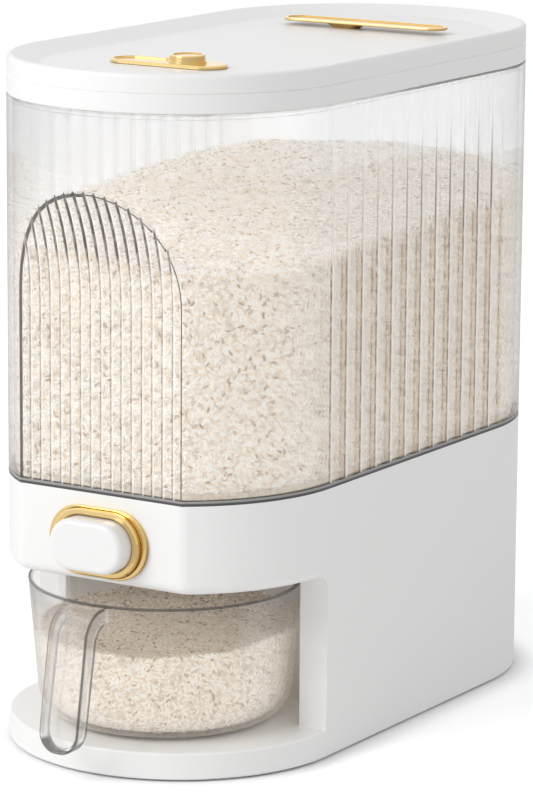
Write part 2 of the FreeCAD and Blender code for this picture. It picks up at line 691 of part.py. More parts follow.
def rear_chamber(body):
    """The hollow behind the bay: round at the back, cut by the bay's curved wall."""
    sketch = new_sketch(body, "XY_Plane", "foot_height")
    side = "half_width - housing_wall"
    front = "bay_side_y + housing_wall"
    wall = "bay_radius + housing_wall"
    cross = f"sqrt(({wall}) ^ 2 - ({front} - cup_y) ^ 2)"
    radius = number(side)
    reach = number("arc_run")
    face = number(front)
    half = number(cross)
    bay = Vector(0, number("cup_y"), 0)
    turn = math.degrees(math.atan2(face - bay.y, half))
    sketch.addGeometry(Part.LineSegment(Vector(half, face, 0), Vector(radius, face, 0)))
    sketch.addGeometry(Part.LineSegment(Vector(radius, face, 0), Vector(radius, reach, 0)))
    add_arc(sketch, Vector(0, reach, 0), radius, 0, 180)
    sketch.addGeometry(Part.LineSegment(Vector(-radius, reach, 0), Vector(-radius, face, 0)))
    sketch.addGeometry(Part.LineSegment(Vector(-radius, face, 0), Vector(-half, face, 0)))
    add_arc(sketch, bay, number(wall), turn, 180 - turn)
    for index in range(4):
        sketch.addConstraint(Sketcher.Constraint("Coincident", index, 2, index + 1, 1))
    sketch.addConstraint(Sketcher.Constraint("Coincident", 4, 2, 5, 2))
    sketch.addConstraint(Sketcher.Constraint("Coincident", 5, 1, 0, 1))
    pin(sketch, 0, 1, cross, front)
    pin(sketch, 1, 1, side, front)
    pin(sketch, 2, 1, side, "arc_run")
    pin(sketch, 3, 1, minus(side), "arc_run")
    pin(sketch, 4, 1, minus(side), front)
    pin(sketch, 4, 2, minus(cross), front)
    pin(sketch, 2, 3, None, "arc_run")
    pin(sketch, 5, 3, None, "cup_y")
    return sketch


def housing():
    """One white shell: deck, rear body, bay wall and the overhang with the button."""
    body = new_body("housing")
    pad(body, stadium(body, "foot_height"), "bay_ceiling - foot_height")
    pad(body, flat_stadium(body, "bay_ceiling"), "housing_height - bay_ceiling")
    bay_depth = "bay_ceiling - deck_height"
    front = rectangle(body, "XY_Plane", "bay_ceiling",
                      ("-half_width - 1", "-half_length - 1"), ("half_width + 1", "bay_side_y"))
    pocket(body, front, bay_depth)
    bay = circles(body, "XY_Plane", "bay_ceiling", [("0", "cup_y")], "bay_radius")
    pocket(body, bay, bay_depth)
    fillet(body, "facet_round", upright("flat_half", "flat_y"))
    bay_side = number("bay_side_y")
    fillet(body, "underside_round", level("bay_ceiling", lambda box: box.YMax < bay_side + 1))
    outside = near_outline("half_width", "half_length")
    fillet(body, "deck_round", level("deck_height", outside))
    fillet(body, "deck_round", level("foot_height", outside))
    upper = flat_stadium(body, "housing_height", "housing_wall")
    pocket(body, upper, "housing_height - ceiling_top")
    pocket(body, rear_chamber(body), "ceiling_top - foot_height", reverse=True)
    inner = stadium(body, "foot_height", "half_width - housing_wall", "half_length - housing_wall")
    pocket(body, inner, "deck_height - housing_wall - foot_height", reverse=True)
    button = ("0", "button_level")
    hole = pill(body, "XZ_Plane", minus("wall_back + 1"), "liner_half_u", "liner_half_v", button)
    pocket(body, hole, "housing_wall + 2", reverse=True)
    outlet = rectangle(body, "XY_Plane", "ceiling_top",
                       ("-spout_half - housing_wall / 2", "-outlet_half - housing_wall / 2"),
                       ("spout_half + housing_wall / 2", "outlet_half + housing_wall / 2"),
                       ("0", "outlet_y"))
    pocket(body, outlet, "housing_wall")
    bosses = boss_spots()
    deck = circles(body, "XY_Plane", "cover_top", bosses[:2], "cover_boss")
    pad(body, deck, "deck_height - housing_wall / 2 - cover_top")
    tall = circles(body, "XY_Plane", "cover_top", bosses[2:], "cover_boss")
    pad(body, tall, "bay_ceiling / 3")
    drill = circles(body, "XY_Plane", "cover_top", bosses, "screw_radius + screw_slack")
    pocket(body, drill, "deck_height - housing_wall - cover_top", reverse=True)
    funnel_posts(body)
    for side in ("-", ""):
        rail = rectangle(body, "XY_Plane", "ceiling_top",
                         (f"{side}(gate_half + fit_gap)", "web_back + button_travel + 2"),
                         (f"{side}(gate_half + fit_gap + rail_width)", "bracket_front - 1"))
        pad(body, rail, "gate_top - ceiling_top")
        rear = rectangle(body, "XY_Plane", "ceiling_top",
                         (f"{side}(gate_half + fit_gap)", "outlet_y - outlet_half"),
                         (f"{side}(gate_half + fit_gap + rail_width)", "outlet_y + 2 * gate_tail"))
        pad(body, rear, "gate_top - ceiling_top")
    feet = circles(body, "XY_Plane", "ceiling_top", bracket_screws(), "screw_radius + screw_slack")
    pocket(body, feet, "housing_wall - 1")
    return body


def bracket_screws():
    """Centres of the two screws that hold the spring bracket."""
    reach = "gate_half + fit_gap + rail_width + boss_radius"
    place = "bracket_front + bracket_hole"
    return [(f"-({reach})", place), (reach, place)]


def bottom_cover():
    """The plate that closes the housing from below."""
    body = new_body("bottom_cover")
    inset = "(housing_wall + fit_gap)"
    plan = stadium(body, "cover_bottom", f"half_width - {inset}", f"half_length - {inset}")
    pad(body, plan, "cover_thickness")
    seats = circles(body, "XY_Plane", "cover_bottom", foot_spots(), "foot_radius + screw_slack")
    pocket(body, seats, "foot_socket", reverse=True)
    holes = circles(body, "XY_Plane", "cover_bottom", boss_spots(), "screw_radius + screw_slack")
    pocket(body, holes, "cover_thickness", reverse=True)
    sinks = circles(body, "XY_Plane", "cover_bottom", boss_spots(), "head_radius + 2 * screw_slack")
    pocket(body, sinks, "head_height", reverse=True)
    return body


def foot_spots():
    """Centres of the six rubber feet, as formulas."""
    reach = "(half_width - housing_wall - foot_radius - foot_margin)"
    spots = []
    for side in ("-", ""):
        spots.append((f"{side}{reach}", "-arc_run / 3"))
        spots.append((f"{side}{reach} * foot_across", f"-arc_run - {reach} * foot_along"))
        spots.append((f"{side}{reach} * foot_across", f"arc_run + {reach} * foot_along"))
    return spots


def spots_at(formulas, z_text):
    height = number(z_text)
    return [Vector(number(u), number(v), height) for u, v in formulas]


def rubber_feet():
    """Six round pads glued into their seats."""
    radius = number("foot_radius")
    height = number("foot_top")
    foot = Part.makeCylinder(radius, height)
    foot = foot.makeFillet(0.3 * height, [foot.Edges[2]])
    return group("rubber_feet", foot, spots_at(foot_spots(), "0"))


def cover_screws():
    """Six screws up through the cover into the bosses."""
    length = number("deck_height - housing_wall - cover_bottom - head_height - 3")
    shape = screw(length, head_up=False)
    return group("cover_screws", shape, spots_at(boss_spots(), "cover_bottom + head_height"))


# ---------------------------------------------------------------- hopper

def octagon(body, offset, spread):
    """An eight-cornered outline from half widths, ends and corner cuts."""
    half, front, rear, cut_u, cut_v = spread
    corners = [
        (minus(f"({half}) - ({cut_u})"), front), (f"({half}) - ({cut_u})", front),
        (half, f"({front}) + ({cut_v})"), (half, f"({rear}) - ({cut_v})"),
        (f"({half}) - ({cut_u})", rear), (minus(f"({half}) - ({cut_u})"), rear),
        (minus(half), f"({rear}) - ({cut_v})"), (minus(half), f"({front}) + ({cut_v})"),
    ]
    return outline(body, "XY_Plane", offset, corners)


def funnel_mouth(extra):
    """The funnel's upper edge, grown by extra."""
    half = f"half_width - funnel_inset - mouth_side + ({extra})"
    front = f"bracket_front - mouth_front - ({extra})"
    rear = f"half_length - funnel_inset - mouth_rear + ({extra})"
    return half, front, rear, "half_width * mouth_cut_across", "half_width * mouth_cut_along"


def funnel_foot(extra):
    """The funnel's lower edge around the outlet, grown by extra."""
    half = f"spout_half + ({extra})"
    front = f"outlet_y - outlet_half - ({extra})"
    rear = f"outlet_y + outlet_half + ({extra})"
    return half, front, rear, "outlet_depth * throat_cut", "outlet_depth * throat_cut"


def funnel():
    """The sloping floor of the hopper, down to the outlet slot above the gate."""
    body = new_body("funnel")
    throat = "gate_top + fit_gap + funnel_wall"
    pad(body, flat_stadium(body, "funnel_top - funnel_rim", "funnel_inset"), "funnel_rim")
    lofted(body, "PartDesign::AdditiveLoft",
           octagon(body, "funnel_top - funnel_rim / 2", funnel_mouth("funnel_wall")),
           octagon(body, throat, funnel_foot("funnel_wall")), True)
    pad(body, octagon(body, throat, funnel_foot("funnel_wall")), "funnel_wall", reverse=True)
    lofted(body, "PartDesign::SubtractiveLoft",
           octagon(body, "funnel_top", funnel_mouth("0")),
           octagon(body, throat, funnel_foot("0")), False)
    pocket(body, octagon(body, throat, funnel_foot("0")), "funnel_wall")
    return body


def spout_collar():
    """A lipped collar pressed into the outlet hole from below."""
    body = new_body("spout_collar")
    centre = ("0", "outlet_y")
    edge = "(housing_wall - screw_slack) / 2"
    tube = rectangle(body, "XY_Plane", "ceiling_top - screw_slack",
                     (f"-spout_half - {edge}", f"-outlet_half - {edge}"),
                     (f"spout_half + {edge}", f"outlet_half + {edge}"), centre)
    pad(body, tube, "housing_wall + collar_drop", reverse=True)
    lip = rectangle(body, "XY_Plane", "bay_ceiling",
                    ("-spout_half - housing_wall", "-outlet_half - housing_wall"),
                    ("spout_half + housing_wall", "outlet_half + housing_wall"), centre)
    pad(body, lip, "collar_lip", reverse=True)
    bore = rectangle(body, "XY_Plane", "ceiling_top", ("-spout_half", "-outlet_half"),
                     ("spout_half", "outlet_half"), centre)
    pocket(body, bore, "housing_wall + collar_drop + 1")
    return body


def hopper_gasket():
    """The dark band between the housing and the clear bin."""
    body = new_body("hopper_gasket")
    pad(body, flat_stadium(body, "housing_height"), "gasket_thickness")
    hole = flat_stadium(body, "bin_bottom", "housing_wall")
    pocket(body, hole, "gasket_thickness")
    return body


def bin_form(label, inset, bottom, top):
    """The bin's form drawn smaller by inset: oblong, front flat and forward scoop."""
    body = new_body(label)
    plan = stadium(body, bottom, f"half_width - ({inset})", f"half_length - ({inset})")
    pad(body, plan, f"({top}) - ({bottom})")
    axis = ("0", "scoop_y")
    radius = f"scoop_radius + ({inset})"
    low = rectangle(body, "XY_Plane", "scoop_height", ("-half_width", "0"),
                    ("half_width", radius), axis)
    pocket(body, low, f"scoop_height - ({bottom}) + 1")
    high = rectangle(body, "XY_Plane", "scoop_height", ("-half_width", "scoop_radius / 2"),
                     ("half_width", radius), axis)
    turned(body, "PartDesign::Groove", high, "H_Axis", "scoop_angle")
    return body


def add_reeds(body):
    """Fine grooves down the front flat that follow the scoop at their upper ends."""
    axis = (minus("reed_pitch * (reed_count - 1) / 2"), "scoop_y")
    clear = "scoop_radius - reed_overlap"
    corners = [("-reed_groove / 2", clear), ("reed_groove / 2", clear),
               ("reed_groove / 2", "scoop_radius"), ("0", "scoop_radius + reed_depth"),
               ("-reed_groove / 2", "scoop_radius")]
    run = "reed_pitch * (reed_count - 1)"
    down = outline(body, "XY_Plane", "scoop_height", corners, axis)
    cut = pocket(body, down, "scoop_height - bin_bottom + 1")
    row_of(body, cut, down, "H_Axis", run, "reed_count")
    up = outline(body, "XY_Plane", "scoop_height", corners, axis)
    bend = turned(body, "PartDesign::Groove", up, "H_Axis", "scoop_angle")
    row_of(body, bend, up, "H_Axis", run, "reed_count")


def add_flutes(body, side):
    """Soft upright flutes along one side that run out below the rim."""
    away = "half_width + flute_fade"
    origin = (away if side > 0 else minus(away), "flute_start")
    centre = "flute_radius - flute_depth - flute_fade"
    centre = centre if side > 0 else minus(centre)
    run = "flute_pitch * (flute_count - 1)"
    down = circles(body, "XY_Plane", "flute_level", [(centre, "0")], "flute_radius", origin)
    cut = pocket(body, down, "flute_level - bin_bottom + 1")
    row_of(body, cut, down, "V_Axis", run, "flute_count")
    up = circles(body, "XY_Plane", "flute_level", [(centre, "0")], "flute_radius", origin)
    fade = turned(body, "PartDesign::Groove", up, "V_Axis", "flute_angle", reverse=side < 0)
    row_of(body, fade, up, "V_Axis", run, "flute_count")


def hopper_bin():
    """The clear bin: reeded front, fluted sides, stepped-in rim, flange and spigot below."""
    outer = bin_form("bin_outside", "0", "bin_bottom", "bin_top")
    add_reeds(outer)
    add_flutes(outer, 1)
    add_flutes(outer, -1)
    inner = bin_form("bin_inside", "bin_wall", "bin_bottom + bin_flange", "bin_top - rim_shelf")
    rim = new_body("rim_outside")
    pad(rim, stadium(rim, "bin_top - rim_shelf", "half_width - rim_inset",
                     "half_length - rim_inset"), "rim_shelf + rim_height")
    mouth = new_body("rim_inside")
    pad(mouth, stadium(mouth, "bin_top - rim_shelf - 1", "half_width - mouth_inset",
                       "half_length - mouth_inset"), "rim_shelf + rim_height + 2")
    spigot = new_body("spigot_outside")
    low = "housing_height - spigot_depth"
    gap = "housing_wall + fit_gap"
    pad(spigot, flat_stadium(spigot, low, gap), f"bin_bottom + bin_flange / 2 - ({low})")
    throat = new_body("spigot_inside")
    pad(throat, flat_stadium(throat, f"{low} - 1", f"{gap} + spigot_wall"),
        f"bin_bottom + bin_flange + 1 - ({low})")
    return node_of_cut("hopper_bin", fused("BinOutside", [outer, rim, spigot]),
                       fused("BinInside", [inner, mouth, throat]))


# ---------------------------------------------------------------- button

def bezel_ring():
    """The outer gold ring around the button."""
    body = new_body("bezel_ring")
    centre = ("0", "button_level")
    face = pill(body, "XZ_Plane", "-flat_y", "ring_width / 2", "ring_height / 2", centre)
    pad(body, face, "ring_reach")
    front = number("flat_y - ring_reach")
    bore = pill(body, "XZ_Plane", "-flat_y", "ring_width / 2 - ring_band",
                "ring_height / 2 - ring_band * ring_squeeze", centre)
    pocket(body, bore, "ring_reach", reverse=True)
    fillet(body, "ring_round", lambda edge: abs(edge.BoundBox.YMin - front) < TOL
           and abs(edge.BoundBox.YMax - front) < TOL)
    return body


def bezel_liner():
    """The inner gold ring, with a tube through the housing that guides the cap."""
    body = new_body("bezel_liner")
    centre = ("0", "button_level")
    gap = "screw_slack"
    flare = pill(body, "XZ_Plane", "-flat_y", f"ring_width / 2 - ring_band - {gap}",
                 f"ring_height / 2 - ring_band * ring_squeeze - {gap}", centre)
    pad(body, flare, "liner_reach")
    tube = pill(body, "XZ_Plane", "-flat_y", f"liner_half_u - {gap}",
                f"liner_half_v - {gap}", centre)
    pad(body, tube, "housing_wall", reverse=True)
    front = number("flat_y - liner_reach")
    bore = pill(body, "XZ_Plane", "-wall_back - 1", "cap_width / 2 + fit_gap",
                "cap_height / 2 + fit_gap", centre)
    pocket(body, bore, "housing_wall + liner_reach + 2", reverse=True)
    chamfer(body, "liner_bevel", lambda edge: abs(edge.BoundBox.YMin - front) < TOL
            and abs(edge.BoundBox.YMax - front) < TOL)
    return body


def button_cap():
    """The white push button: a hollow cap with a flange behind the liner."""
    body = new_body("button_cap")
    centre = ("0", "button_level")
    shell = pill(body, "XZ_Plane", "-web_front", "cap_width / 2", "cap_height / 2", centre)
    pad(body, shell, "web_front - cap_front")
    front = number("cap_front")
    fillet(body, "cap_round", lambda edge: abs(edge.BoundBox.YMin - front) < TOL
           and abs(edge.BoundBox.YMax - front) < TOL)
    flange = pill(body, "XZ_Plane", "-web_front", "cap_width / 2 + cap_flange",
                  "cap_height / 2 + cap_flange", centre)
    pad(body, flange, "web_front - flange_front")
    hollow = pill(body, "XZ_Plane", "-web_front", "cap_width / 2 - cap_wall",
                  "cap_height / 2 - cap_wall", centre)
    pocket(body, hollow, "web_front - cap_front - cap_wall - cap_round / 2", reverse=True)
    posts = circles(body, "XZ_Plane", "-web_front", button_screws(), "cap_post")
    pad(body, posts, "web_front - cap_front - cap_wall")
    holes = circles(body, "XZ_Plane", "-web_front", button_screws(), "screw_radius + screw_slack")
    pocket(body, holes, "web_front - cap_front - 2 * cap_wall - cap_round", reverse=True)
    return body


def button_screws():
    """Centres of the two screws that join the cap to the slide, across and up."""
    return [("-cap_width / 4", "button_level"), ("cap_width / 4", "button_level")]


def gate_slide():
    """The slide behind the button: an upright web and the gate plate with its slot."""
    body = new_body("gate_slide")
    plate = rectangle(body, "XY_Plane", "gate_bottom", ("-gate_half", "web_front"),
                      ("gate_half", "slot_y + outlet_half + gate_tail"))
    pad(body, plate, "gate_thickness")
    web = rectangle(body, "XZ_Plane", "-web_back", ("-gate_half", "gate_bottom"),
                    ("gate_half", "button_level + cap_height / 2"))
    pad(body, web, "gate_thickness")
    slot = rectangle(body, "XY_Plane", "gate_bottom", ("-spout_half", "-outlet_half"),
                     ("spout_half", "outlet_half"), ("0", "slot_y"))
    pocket(body, slot, "gate_thickness", reverse=True)
    holes = circles(body, "XZ_Plane", "-web_front", button_screws(), "screw_radius + screw_slack")
    pocket(body, holes, "gate_thickness", reverse=False)
    pins = circles(body, "XZ_Plane", "-web_back", spring_spots(), "pin_radius")
    pad(body, pins, "pin_length", reverse=True)
    return body


def spring_spots():
    """Centres of the two springs, across and up."""
    return [("-spring_spread / 2", "spring_level"), ("spring_spread / 2", "spring_level")]


def spring_bracket():
    """A bridge over the gate that backs the two return springs."""
    body = new_body("spring_bracket")
    outer = "gate_half + fit_gap + rail_width + 2 * boss_radius"
    bar = rectangle(body, "XZ_Plane", "-bracket_front", (f"-({outer})", "gate_top + 2 * fit_gap"),
                    (outer, "spring_level + spring_radius + bracket_rise"))
    pad(body, bar, "housing_wall", reverse=True)
    for side in ("-", ""):
        foot = rectangle(body, "XY_Plane", "ceiling_top",
                         (f"{side}(gate_half + 2 * fit_gap)", "bracket_front"),
                         (f"{side}({outer})", "bracket_front + bracket_foot"))
        pad(body, foot, "foot_plate_top - ceiling_top")
    pins = circles(body, "XZ_Plane", "-bracket_front", spring_spots(), "pin_radius")
    pad(body, pins, "pin_length")
    holes = circles(body, "XY_Plane", "ceiling_top", bracket_screws(), "screw_radius + screw_slack")
    pocket(body, holes, "foot_plate_top - ceiling_top", reverse=True)
    return body


def bracket_screw_group():
    """Two short screws down through the bracket's feet."""
    length = number("foot_plate_top - ceiling_top")
    return group("bracket_screws", screw(length), spots_at(bracket_screws(), "foot_plate_top"))


def button_screw_group():
    """Two screws forward through the web into the cap's posts."""
    shape = screw(number("gate_thickness + cap_screw"))
    shape.rotate(Vector(0, 0, 0), Vector(1, 0, 0), -90)
    spots = [Vector(number(u), number("web_back"), number(v)) for u, v in button_screws()]
    return group("button_screws", shape, spots)


def return_spring(label, spot):
    """A compression spring with its axis along Y, between the web and the bracket."""
    wire = number("spring_wire")
    radius = number("spring_radius")
    span = number("spring_length") - wire - 0.1
    helix = Part.makeHelix(span / number("spring_turns"), span, radius)
    circle = Part.Wire(Part.makeCircle(wire / 2, Vector(radius, 0, 0), Vector(0, 1, 0)))
    coil = Part.Wire(helix).makePipeShell([circle], True, True)
    coil.rotate(Vector(0, 0, 0), Vector(1, 0, 0), -90)
    start = number("web_back") + wire / 2 + 0.05
    coil.translate(Vector(number(spot[0]), start, number(spot[1])))
    return fixed_shape(label, Part.makeCompound([coil]))


# ---------------------------------------------------------------- cup

def measuring_cup():
    """The clear cup with a channel-section handle that hooks out from its rim."""
    body = new_body("measuring_cup")
    back = "cup_y - rim_radius / 2"
    tip = "cup_floor + 2 * fit_gap"
    hook = [(back, "grip_top"), ("grip_front", "grip_top"), ("tip_front", tip),
            ("tip_front + grip_depth", tip),
            ("grip_front + grip_depth", "grip_top - grip_depth"), (back, "grip_top - grip_depth")]
    pad(body, outline(body, "YZ_Plane", "0", hook), "grip_width", midplane=True)
    front = number("grip_front")
    low = number(tip)
    high = number("grip_top")
    half = number("grip_width / 2")
    deep = number("grip_depth")
    skin = number("grip_wall")
    inner_front = "grip_front + grip_wall"
    channel = [(back, "grip_top - grip_wall"), (inner_front, "grip_top - grip_wall"),
               ("tip_front + grip_wall", f"{tip} + grip_wall"),
               ("tip_front + grip_depth + 4", f"{tip} + grip_wall"),
               ("grip_front + grip_depth + 4", "grip_top - grip_depth - 4"),
               (back, "grip_top - grip_depth - 4")]
    pocket(body, outline(body, "YZ_Plane", "0", channel), "grip_width - 2 * grip_wall",
           midplane=True)

    def across(y_at, z_at):
        def test(edge):
            box = edge.BoundBox
            flat = box.YLength < TOL and box.ZLength < TOL
            return flat and abs(box.YMin - y_at) < TOL and abs(box.ZMin - z_at) < TOL
        return test

    def along_tip(x_at, z_at):
        def test(edge):
            box = edge.BoundBox
            straight = box.XLength < TOL and box.ZLength < TOL
            return straight and abs(abs(box.XMin) - x_at) < TOL and abs(box.ZMin - z_at) < TOL
        return test
    fillet(body, "grip_bend - grip_wall", across(front + skin, high - skin))
    fillet(body, "grip_bend", across(front, high))
    fillet(body, "grip_bend - grip_depth * 0.6", across(front + deep, high - deep))
    fillet(body, "grip_width / 2 - grip_wall - grip_drop", along_tip(half - skin, low + skin))
    fillet(body, "grip_width / 2 - grip_drop", along_tip(half, low))

    def long_edge(edge):
        box = edge.BoundBox
        side_line = box.XLength < TOL and abs(abs(box.XMin) - half) < TOL
        return side_line and box.ZLength > high / 3 and box.YMin < front - deep / 2
    fillet(body, "grip_edge", long_edge)
    wall = [("0", "cup_floor"), ("base_radius", "cup_floor"), ("rim_radius", "cup_rim"),
            ("0", "cup_rim")]
    turned(body, "PartDesign::Revolution",
           outline(body, "XZ_Plane", "-cup_y", wall), "V_Axis")
    hollow = [("0", "cup_floor + cup_wall"), ("base_radius - cup_wall", "cup_floor + cup_wall"),
              ("rim_radius - cup_wall", "cup_rim + 0.01"), ("0", "cup_rim + 0.01")]
    turned(body, "PartDesign::Groove",
           outline(body, "XZ_Plane", "-cup_y", hollow), "V_Axis")
    ring = number("base_radius")

    def round_edge(z_text, radius):
        height = number(z_text)

        def test(edge):
            box = edge.BoundBox
            return (abs(box.ZMax - height) < TOL and abs(box.ZMin - height) < TOL
                    and abs(box.XMax - radius) < 0.1)
        return test
    fillet(body, "cup_round", round_edge("cup_floor", ring))
    fillet(body, "cup_round - cup_wall", round_edge("cup_floor + cup_wall", ring - number("cup_wall")))
    return body


# ---------------------------------------------------------------- lid

def lid_boss_spots():
    """Centres of the eight screws that join the two halves of the lid."""
    reach = "(half_width - lid_rim - dish_slope - boss_radius - lid_boss_inset)"
    spots = []
    for side in ("-", ""):
        for along in ("-arc_run", "0", "arc_run"):
            spots.append((f"{side}{reach}", along))
    spots.append(("0", f"arc_run + {reach}"))
    spots.append(("0", f"-arc_run - {reach}"))
    return spots


def lid_shell():
    """The white top of the lid: a high rim around a dished, flat-floored top."""
    body = new_body("lid_shell")
    pad(body, stadium(body, "lid_seam"), "lid_top - lid_seam")
    slope = "lid_rim + dish_slope"
    lofted(body, "PartDesign::SubtractiveLoft",
           stadium(body, "lid_top", "half_width - lid_rim", "half_length - lid_rim"),
           stadium(body, "dish_floor", f"half_width - ({slope})", f"half_length - ({slope})"), False)
    fillet(body, "dish_round", level("dish_floor"))
    outside = near_outline("half_width", "half_length")
    fillet(body, "lid_round", level("lid_top", outside))
    below = f"half_width - ({slope})"
    under = stadium(body, "lid_seam", below, f"half_length - ({slope})")
    pocket(body, under, "lid_inside - lid_seam", reverse=True)
    front = number("-arc_run")
    chamfer(body, "seam_chamfer",
            level("lid_seam", lambda box: outside(box) and box.YMax < front + 1))
    bosses = circles(body, "XY_Plane", "lid_inside + lid_wall / 2", lid_boss_spots(), "boss_radius")
    pad(body, bosses, "lid_inside + lid_wall / 2 - lid_bottom - panel_thickness", reverse=True)
    drill = circles(body, "XY_Plane", "lid_bottom + panel_thickness", lid_boss_spots(),
                    "screw_radius + screw_slack")
    pocket(body, drill, "lid_inside - lid_bottom - panel_thickness - 1", reverse=True)
    tub_hole = pill(body, "XY_Plane", "dish_floor", "tub_length / 2 + fit_gap",
                    "tub_width / 2 + fit_gap", ("0", "plate_y"))
    pocket(body, tub_hole, "lid_wall")
    seat = pill(body, "XY_Plane", "dish_floor", "tub_length / 2 + tub_flange + 2 * screw_slack",
                "tub_width / 2 + tub_flange + 2 * screw_slack", ("0", "plate_y"))
    pocket(body, seat, "tub_wall")
    handle = circles(body, "XY_Plane", "dish_floor", handle_screws(), "screw_radius + screw_slack")
    pocket(body, handle, "lid_wall")
    return body


def handle_screws():
    """Centres of the two screws that hold the lid's handle."""
    return [("-stem_shift - stem_length / 5", "bar_y"), ("-stem_shift + stem_length / 5", "bar_y")]


def lid_base():
    """The lower half of the lid: collar, closing panel and a channel for the bin's rim."""
    body = new_body("lid_base")
    pad(body, stadium(body, "lid_bottom"), "collar_height")
    outside = near_outline("half_width", "half_length")
    front = number("-arc_run")
    chamfer(body, "seam_chamfer",
            level("lid_seam", lambda box: outside(box) and box.YMax < front + 1))
    fillet(body, "seam_chamfer", level("lid_bottom", outside))
    channel = stadium(body, "lid_bottom", "half_width - collar_wall", "half_length - collar_wall")
    pocket(body, channel, "rim_height", reverse=True)
    skirt = "skirt_inset + seal_depth"
    core = stadium(body, "lid_bottom", f"half_width - ({skirt})", f"half_length - ({skirt})")
    pad(body, core, "rim_height")
    bore = f"{skirt} + skirt_wall"
    hollow = stadium(body, "lid_seam", f"half_width - ({bore})", f"half_length - ({bore})")
    pocket(body, hollow, "collar_height - panel_thickness")
    lip = stadium(body, "lid_bottom", "half_width - skirt_inset - lip_inset",
                  "half_length - skirt_inset - lip_inset")
    pad(body, lip, "lip_height")
    tub_hole = pill(body, "XY_Plane", "lid_bottom", "tub_length / 2 + fit_gap",
                    "tub_width / 2 + fit_gap", ("0", "plate_y"))
    pocket(body, tub_hole, "panel_thickness", reverse=True)
    drill = circles(body, "XY_Plane", "lid_bottom", lid_boss_spots(), "screw_radius + screw_slack")
    pocket(body, drill, "panel_thickness", reverse=True)
    access = circles(body, "XY_Plane", "lid_bottom", handle_screws(),
                     "head_radius + driver_slack")
    pocket(body, access, "panel_thickness", reverse=True)
    return body


def lid_seal():
    """The silicone ring around the skirt."""
    body = new_body("lid_seal")
    top = "lid_bottom + lip_height + seal_height"
    pad(body, stadium(body, top, "half_width - skirt_inset", "half_length - skirt_inset"),
        "seal_height", reverse=True)
    bore = "skirt_inset + seal_depth"
    hole = stadium(body, top, f"half_width - ({bore})", f"half_length - ({bore})")
    pocket(body, hole, "seal_height")
    outside = near_outline("half_width - skirt_inset", "half_length - skirt_inset")
    chamfer(body, "seal_depth * 0.5", level(top, outside))
    return body


def lid_screws():
    """Eight screws up through the panel into the lid shell's bosses."""
    length = number("panel_thickness + lid_screw")
    return group("lid_screws", screw(length, head_up=False),
                 spots_at(lid_boss_spots(), "lid_bottom"))


def handle_screw_group():
    """Two screws up through the lid's skin into the handle's foot."""
    length = number("lid_wall + stem_height - screw_radius - 6 * screw_slack")
    return group("handle_screws", screw(length, head_up=False),
                 spots_at(handle_screws(), "lid_inside"))


def handle_bar():
    """The long gold bar of the lid handle, hollowed inside a raised edge."""
    body = new_body("handle_bar")
    centre = ("0", "bar_y")
    pad(body, pill(body, "XY_Plane", "bar_bottom", "bar_length / 2", "bar_width / 2", centre),
        "bar_thickness")
    fillet(body, "bar_round", lambda edge: True)
    hollow = pill(body, "XY_Plane", "bar_top", "bar_length / 2 - bar_edge",
                  "bar_width / 2 - bar_edge", centre)
    pocket(body, hollow, "bar_dish")
    return body


def handle_foot():
    """The tapered foot that carries the bar, left of the bar's middle."""
    body = new_body("handle_foot")
    centre = ("-stem_shift", "bar_y")
    top = pill(body, "XY_Plane", "bar_bottom", "stem_length / 2", "stem_width / 2", centre)
    foot = pill(body, "XY_Plane", "dish_floor", "stem_length / 2 - stem_taper",
                "stem_width / 2 - stem_waist", centre)
    lofted(body, "PartDesign::AdditiveLoft", top, foot, True)
    holes = circles(body, "XY_Plane", "dish_floor", handle_screws(), "screw_radius + screw_slack")
    pocket(body, holes, "stem_height - screw_slack", reverse=True)
    return body


def desiccant_tub():
    """The slotted tub that hangs through the lid under the gold plate."""
    body = new_body("desiccant_tub")
    centre = ("0", "plate_y")
    flange = pill(body, "XY_Plane", "dish_floor", "tub_length / 2 + tub_flange",
                  "tub_width / 2 + tub_flange", centre)
    pad(body, flange, "tub_wall", reverse=True)
    shell = pill(body, "XY_Plane", "dish_floor", "tub_length / 2", "tub_width / 2", centre)
    pad(body, shell, "tub_depth", reverse=True)
    hollow = pill(body, "XY_Plane", "dish_floor", "tub_length / 2 - tub_wall",
                  "tub_width / 2 - tub_wall", centre)
    pocket(body, hollow, "tub_depth - tub_wall")
    slot = rectangle(body, "XY_Plane", "tub_bottom", ("-vent_width / 2", "-tub_width / 4"),
                     ("vent_width / 2", "tub_width / 4"), ("-tub_length / 4", "plate_y"))
    vent = pocket(body, slot, "tub_wall", reverse=True)
    row_of(body, vent, slot, "H_Axis", "tub_length / 2", "tub_vents")
    return body


def desiccant_sachet():
    """The flat moisture sachet that lies in the tub."""
    body = new_body("desiccant_sachet")
    centre = ("0", "plate_y")
    form = pill(body, "XY_Plane", "tub_bottom + tub_wall + fit_gap",
                "tub_length / 2 - tub_wall - sachet_slack",
                "tub_width / 2 - tub_wall - 2 * fit_gap", centre)
    pad(body, form, "sachet_height")
    fillet(body, "sachet_round", level("tub_bottom + tub_wall + fit_gap + sachet_height"))
    return body


